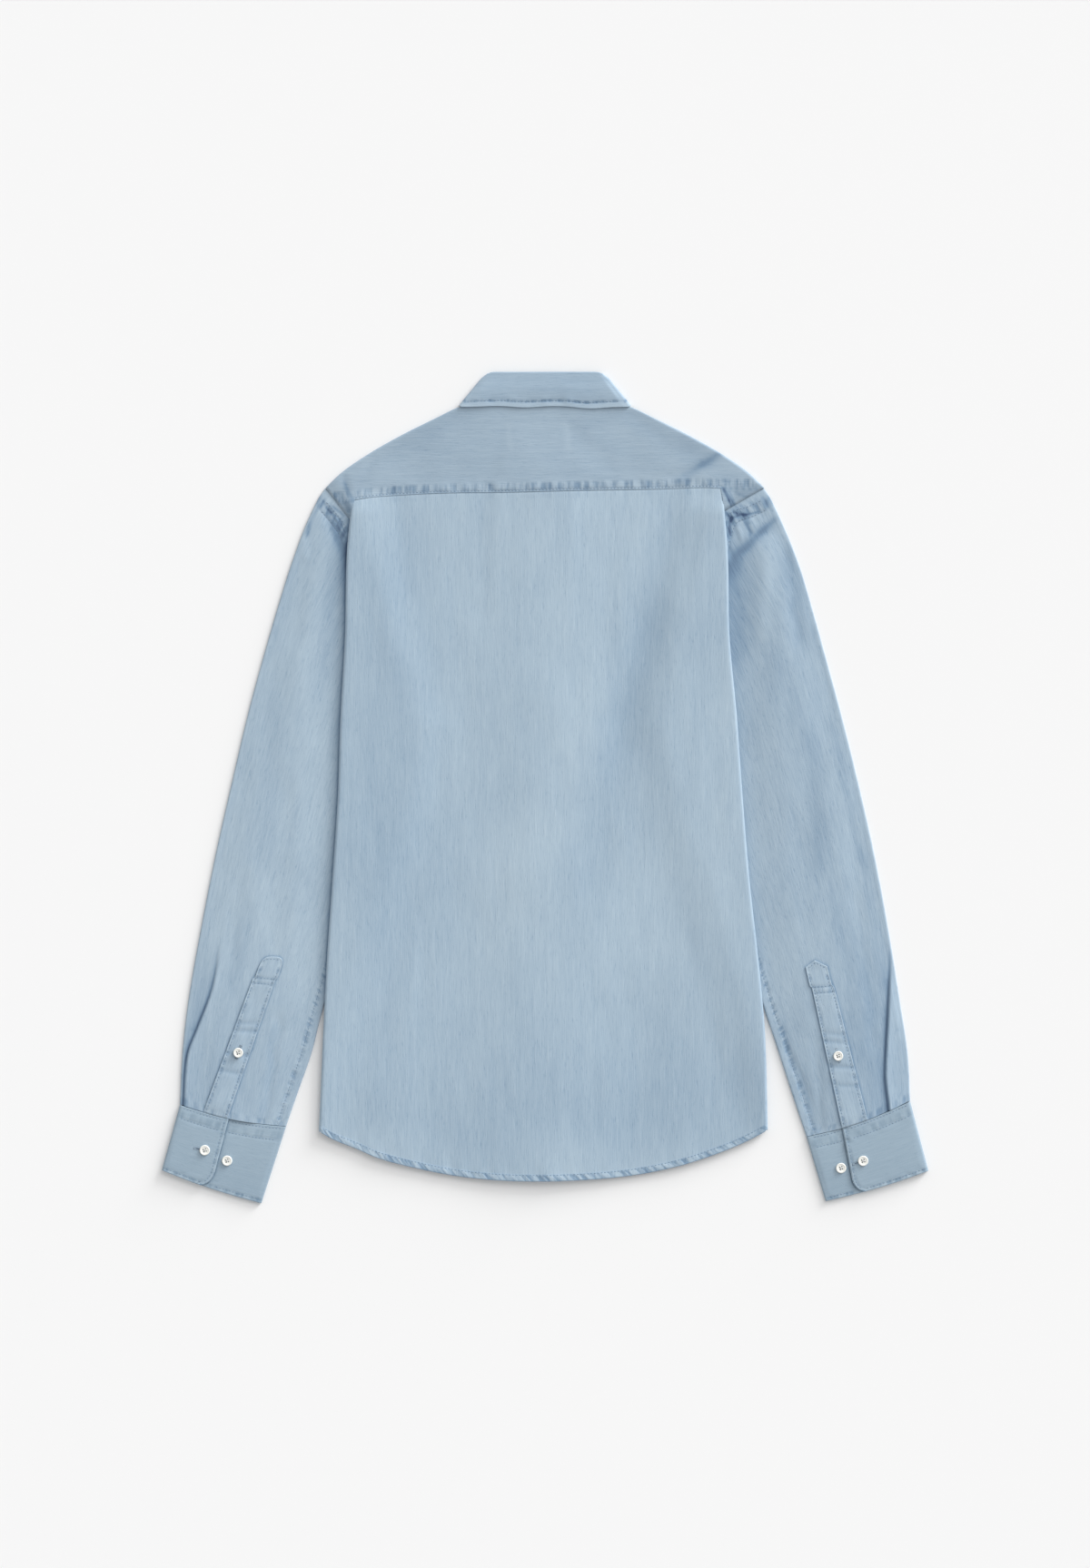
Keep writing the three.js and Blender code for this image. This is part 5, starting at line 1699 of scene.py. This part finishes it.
def sewn(line, long=STITCH_LONG, gap=STITCH_GAP, radius=THREAD_RADIUS):
    """Stitches at an even pitch along a line of points."""
    line = np.asarray(line, float)
    at = np.concatenate([[0], np.cumsum(np.linalg.norm(np.diff(line, axis=0), axis=1))])
    starts = np.arange(0.3, at[-1] - long, long + gap)
    read = lambda place: np.stack([np.interp(place, at, line[:, k]) for k in range(3)], -1)
    return capsules(read(starts), read(starts + long), radius, radius * 0.9)


def cuff_top(side, share, down):
    """Places on a cuff's upper surface, on its flap or on the part under it."""
    flap = CUFF_FLAP + cuff_relief(side, share, down, FLAP_WAVES)
    under = CUFF_UNDER + cuff_relief(side, share, down, UNDER_WAVES)
    z = np.where(share < flap_edge(side, down), flap, under)
    return vector(*cuff_point(side, share, down), z + CUFF_CLOTH / 2)


def cuff_rows(side):
    """The rows of stitches on a cuff: round its edges and under its seam."""
    flap_to, near = side["cuff"]["flap_top"], 3 / CUFF_WIDE
    for low, high in ((0.035, flap_to - 0.045), (flap_to + 0.03, 0.965)):
        for down in (1.8, 11.5):
            yield cuff_top(side, np.linspace(low, high, 60), down / CUFF_TALL)
    down = np.linspace(0.04, 1 - 3.4 / CUFF_TALL, 80)
    yield cuff_top(side, flap_edge(side, down) - near, down)
    low_row = 1 - 3 / CUFF_TALL
    low_end = flap_edge(side, low_row) - near
    yield cuff_top(side, np.linspace(0.035, low_end - 0.01, 60), low_row)
    yield cuff_top(side, np.linspace(side["cuff"]["flap_low"] + 0.04, 0.965, 60), low_row)


def placket_rows(side):
    """The rows of stitches along a placket's edges, round its end and across it."""
    inset = PLACKET_ROW / PLACKET_WIDE
    high = 1.5 if side["placket"]["end"] == "gable" else 1.3
    for across in (inset, 1 - inset):
        low = float(placket_low(side, np.array([across]))[0]) + 0.02
        yield placket_height(side, np.linspace(low, high, 90), across)[0] + ON_CLOTH
    across = np.linspace(inset, 1 - inset, 40)
    for part in (2 - PLACKET_ROW * 1.15 / placket_end(side, across), *CROSS_ROWS):
        yield placket_height(side, part + 0 * across, across)[0] + ON_CLOTH


def sleeve_rows(side):
    """The rows of stitches beside the armhole and along the seam under the arm."""
    sleeve = Sleeve(side)
    part, s = np.linspace(0.03, 0.97, 240), np.linspace(0.1, 0.99, 500)
    underarm = 1 - UNDERARM_SEAM / sleeve.plan(s, 0.0)[2]
    for along, share, clear in ((FIRST_ROW / sleeve.long, part, 1.5), (BAND / sleeve.long, part, 1.5),
                                (s, underarm, 2)):
        line = sleeve.top(along, share)[0]
        yield line[np.abs(line[:, 0]) > side["fold"](line[:, 1]) + clear] + ON_CLOTH


def collar_row():
    x = np.linspace(-73, 73, 300)
    corner_x, low_x = COLLAR["fall_x"][0] + CORNER_CUT[0], COLLAR["outer_x"][0]
    v = 1 - COLLAR_ROW / COLLAR_TALL
    part = np.abs(x) / mix(corner_x, low_x, v)
    edge = collar_low(low_x * part * np.sign(x))
    y = mix(COLLAR["fall_y"][0], edge, v)
    rise = collar_relief(x, y, edge) * (1 - ease(COLLAR_SIDE, 1, part))
    return vector(x, y, LEAF_BACK + rise + COLLAR_CLOTH / 2)


def make_stitches():
    x, hem_x = np.linspace(-184, 171, 500), np.linspace(-213, 211, 600)
    y, hem_y = seam_height(x) + YOKE_ROW, hem_height(hem_x) + HEM_FOLD
    lines = [vector(x, y, yoke_height(x, y)) + ON_CLOTH, collar_row(),
             vector(hem_x, hem_y, back_height(hem_x, hem_y)) + ON_CLOTH]
    for side in SIDES.values():
        lines += [*cuff_rows(side), *placket_rows(side), *sleeve_rows(side)]
    joined_threads("stitches", [sewn(line) for line in lines], THREAD)


HOLE_LONG = 14.0
HOLE_HALF = 1.1
CUFF_HOLE_SHIFT = 3.4
FLAP_RISE = 0.55


def buttonhole(side, place):
    """The threads of a buttonhole's two long sides and two ends, and its slit's painted shadow."""
    outer = np.array(side["placket" if place == "placket" else "cuff"]["top_outer"], float)
    if place == "placket":
        run, shift = outer - side["placket"]["low_outer"], 0.5
    else:
        run, shift = outer - side["cuff"]["top_inner"], -CUFF_HOLE_SHIFT * side["sign"]
    run = run / np.hypot(*run)
    normal = np.array([-run[1], run[0]])
    t = np.linspace(-HOLE_LONG / 2, HOLE_LONG / 2, 30) + shift

    def line(offset, along, lift):
        spot = side["buttons"][place] + run * along[:, None] + normal * offset
        x, y = side["sign"] * spot[:, 0], spot[:, 1]
        level = CUFF_FLAP + CUFF_CLOTH / 2 + FLAP_RISE
        if place == "placket":
            level = sleeve_height(x, y) + PLACKET_LIFT + CLOTH * FACING + CLOTH / 2
        return vector(x, y, level + lift)

    threads = [sewn(line(offset, t, 0.0), 0.5, 0.08, 0.36) for offset in (-HOLE_HALF, HOLE_HALF)]
    for end in (t[:1], t[-1:]):
        wide = HOLE_HALF * 1.4
        threads.append(capsules(line(-wide, end, 0.1), line(wide, end, 0.1), 0.4))
    slit = line(0.0, t, -0.1)
    return threads, capsules(slit[:1], slit[-1:], 0.45)


def make_buttonholes():
    """The sewn slits under the buttons that are done up."""
    holes = [buttonhole(side, place) for side in SIDES.values() for place in ("placket", "cuff_outer")]
    threads = [thread for threads, _ in holes for thread in threads]
    joined_threads("buttonholes", threads, HOLE_THREAD)
    joined_threads("slit_shadows", [slit for _, slit in holes], SLIT_SHADOW)


BUTTON_TURN = 0.3
FRONT_BUTTON_TURN = 0.2
BUTTON_WIDE = 10.0
BUTTON_ROWS = (("placket", 9.5), ("cuff_outer", BUTTON_WIDE), ("cuff_inner", BUTTON_WIDE))
BUTTON_PROFILE = [
    (0.86, 0.0), (0.95, 0.12), (1.0, 0.42), (0.97, 0.82), (0.9, 0.97), (0.82, 1.0),
    (0.74, 0.96), (0.66, 0.85), (0.58, 0.8), (0.4, 0.78),
]
HOLE_AT = 0.16
HOLE_SIZE = 0.07
BAR_AT = 0.84
BAR_RADIUS = 0.36
BAR_SINK = 0.5


def make_button_threads():
    """Two bars of thread through the holes of each button that shows."""
    bars = []
    for name in SIDES:
        for row, size in BUTTON_ROWS:
            low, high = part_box("button_" + name + "_" + row)
            centre = (np.array([(low.x + high.x) / 2, (low.y + high.y) / 2, low.z]) - SHIFT) / MM
            centre[2] += BUTTON_THICK * BAR_AT
            for turn in (0.25 * math.pi, 0.75 * math.pi):
                angle = BUTTON_TURN + turn
                step = size * HOLE_AT * np.array([[math.cos(angle), math.sin(angle), 0]])
                bars.append(capsules(centre - step, centre + step, BAR_RADIUS, BAR_SINK))
    joined_threads("button.threads", bars, BUTTON_THREAD)


def lathe(name, profile, sides, centres):
    """Closed round solids on upright axes, from radius and height, from below upwards."""
    turns = 2 * math.pi * np.arange(sides) / sides
    radius, height = np.array(profile).T[..., None]
    rings = vector(radius * np.cos(turns), radius * np.sin(turns), height).reshape(-1, 3)
    index = np.arange(len(rings)).reshape(-1, sides)
    after = np.roll(index, -1, 1)
    wall = np.stack([index[:-1], after[:-1], after[1:], index[1:]], -1).reshape(-1, 4)
    points = np.concatenate([rings + [*centre, 0] for centre in centres])
    faces = [part + number * len(rings) for number in range(len(centres))
             for part in (wall, index[:1, ::-1], index[-1:])]
    return build_mesh(name, points - SHIFT / MM, faces, smooth=False)


def make_button(node, size, turn):
    """A button with a raised rim, a dished middle and four holes."""
    low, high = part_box(node)
    profile = [(reach * size / 2, height * BUTTON_THICK) for reach, height in BUTTON_PROFILE]
    disc = lathe("disc", profile, 48, [(0, 0)])
    corners = (np.arange(4) + 0.5) * math.pi / 2
    centres = np.stack([np.cos(corners), np.sin(corners)], -1) * size * HOLE_AT
    ends = [(size * HOLE_SIZE, height * BUTTON_THICK) for height in (-1.5, 1.5)]
    drill = lathe("drill", ends, 16, centres)
    cut = disc.modifiers.new("holes", "BOOLEAN")
    cut.object = drill
    cut.operation = "DIFFERENCE"
    cut.solver = "EXACT"
    finished = bpy.data.meshes.new_from_object(disc.evaluated_get(bpy.context.evaluated_depsgraph_get()))
    for item in (disc, drill):
        bpy.data.objects.remove(item)
    middle = Matrix.Translation(((low.x + high.x) / 2, (low.y + high.y) / 2, low.z))
    finished.transform(middle @ Matrix.Rotation(turn, 4, "Z"))
    piece = placed(node.replace("_", "."), finished)
    set_up(piece, BUTTON, node)


CUTS = {
    "back_panel": (0.56, 0.68, 0.33),
    "front_left": (0.29, 0.68, 0.177),
    "front_right": (0.29, 0.68, 0.171),
    "front_placket": (0.033, 0.65, 0.0214),
    "yoke": (0.43, 0.15, 0.0367),
    "collar_leaf": (0.46, 0.06, 0.0157),
    "collar_stand": (0.42, 0.045, 0.0106),
    "sleeve": (0.3, 0.64, 0.151),
    "cuff": (0.27, 0.066, 0.017),
    "placket": (0.024, 0.15, 0.0036),
}


add_camera()
add_stage()
dress(make_back(), "back_panel", BODY)
for name, level, below in (("left", left_front_level, "front_placket"),
                           ("right", right_front_level, "front_left")):
    dress(make_front(SIDES[name], level), "front_" + name, BODY)
dress(make_strip(), "front_placket", BODY)
dress(make_yoke(), "yoke", YOKE)
leaf, stand = make_collar()
dress(leaf, "collar_leaf", COLLAR_CLOTH_LOOK)
dress(stand, "collar_stand", COLLAR_CLOTH_LOOK)
for name, side in SIDES.items():
    dress(make_sleeve(side), "sleeve_" + name, SLEEVE, cut="sleeve")
    dress(make_cuff(side), "cuff_" + name, CUFF, cut="cuff")
    dress(make_placket(side), "sleeve_placket_" + name, SLEEVE,
          cut="placket")
    for row, size in BUTTON_ROWS:
        make_button("button_" + name + "_" + row, size, BUTTON_TURN)
for node in ("front_1", "front_2", "front_3", "front_4", "front_5", "front_6", "front_7", "collar"):
    make_button("button_" + node, BUTTON_WIDE, FRONT_BUTTON_TURN)
make_stitches()
make_buttonholes()
make_button_threads()

visual_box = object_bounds()
({"cad": [list(corner) for corner in cad_box],
           "visual": [list(corner) for corner in visual_box]})
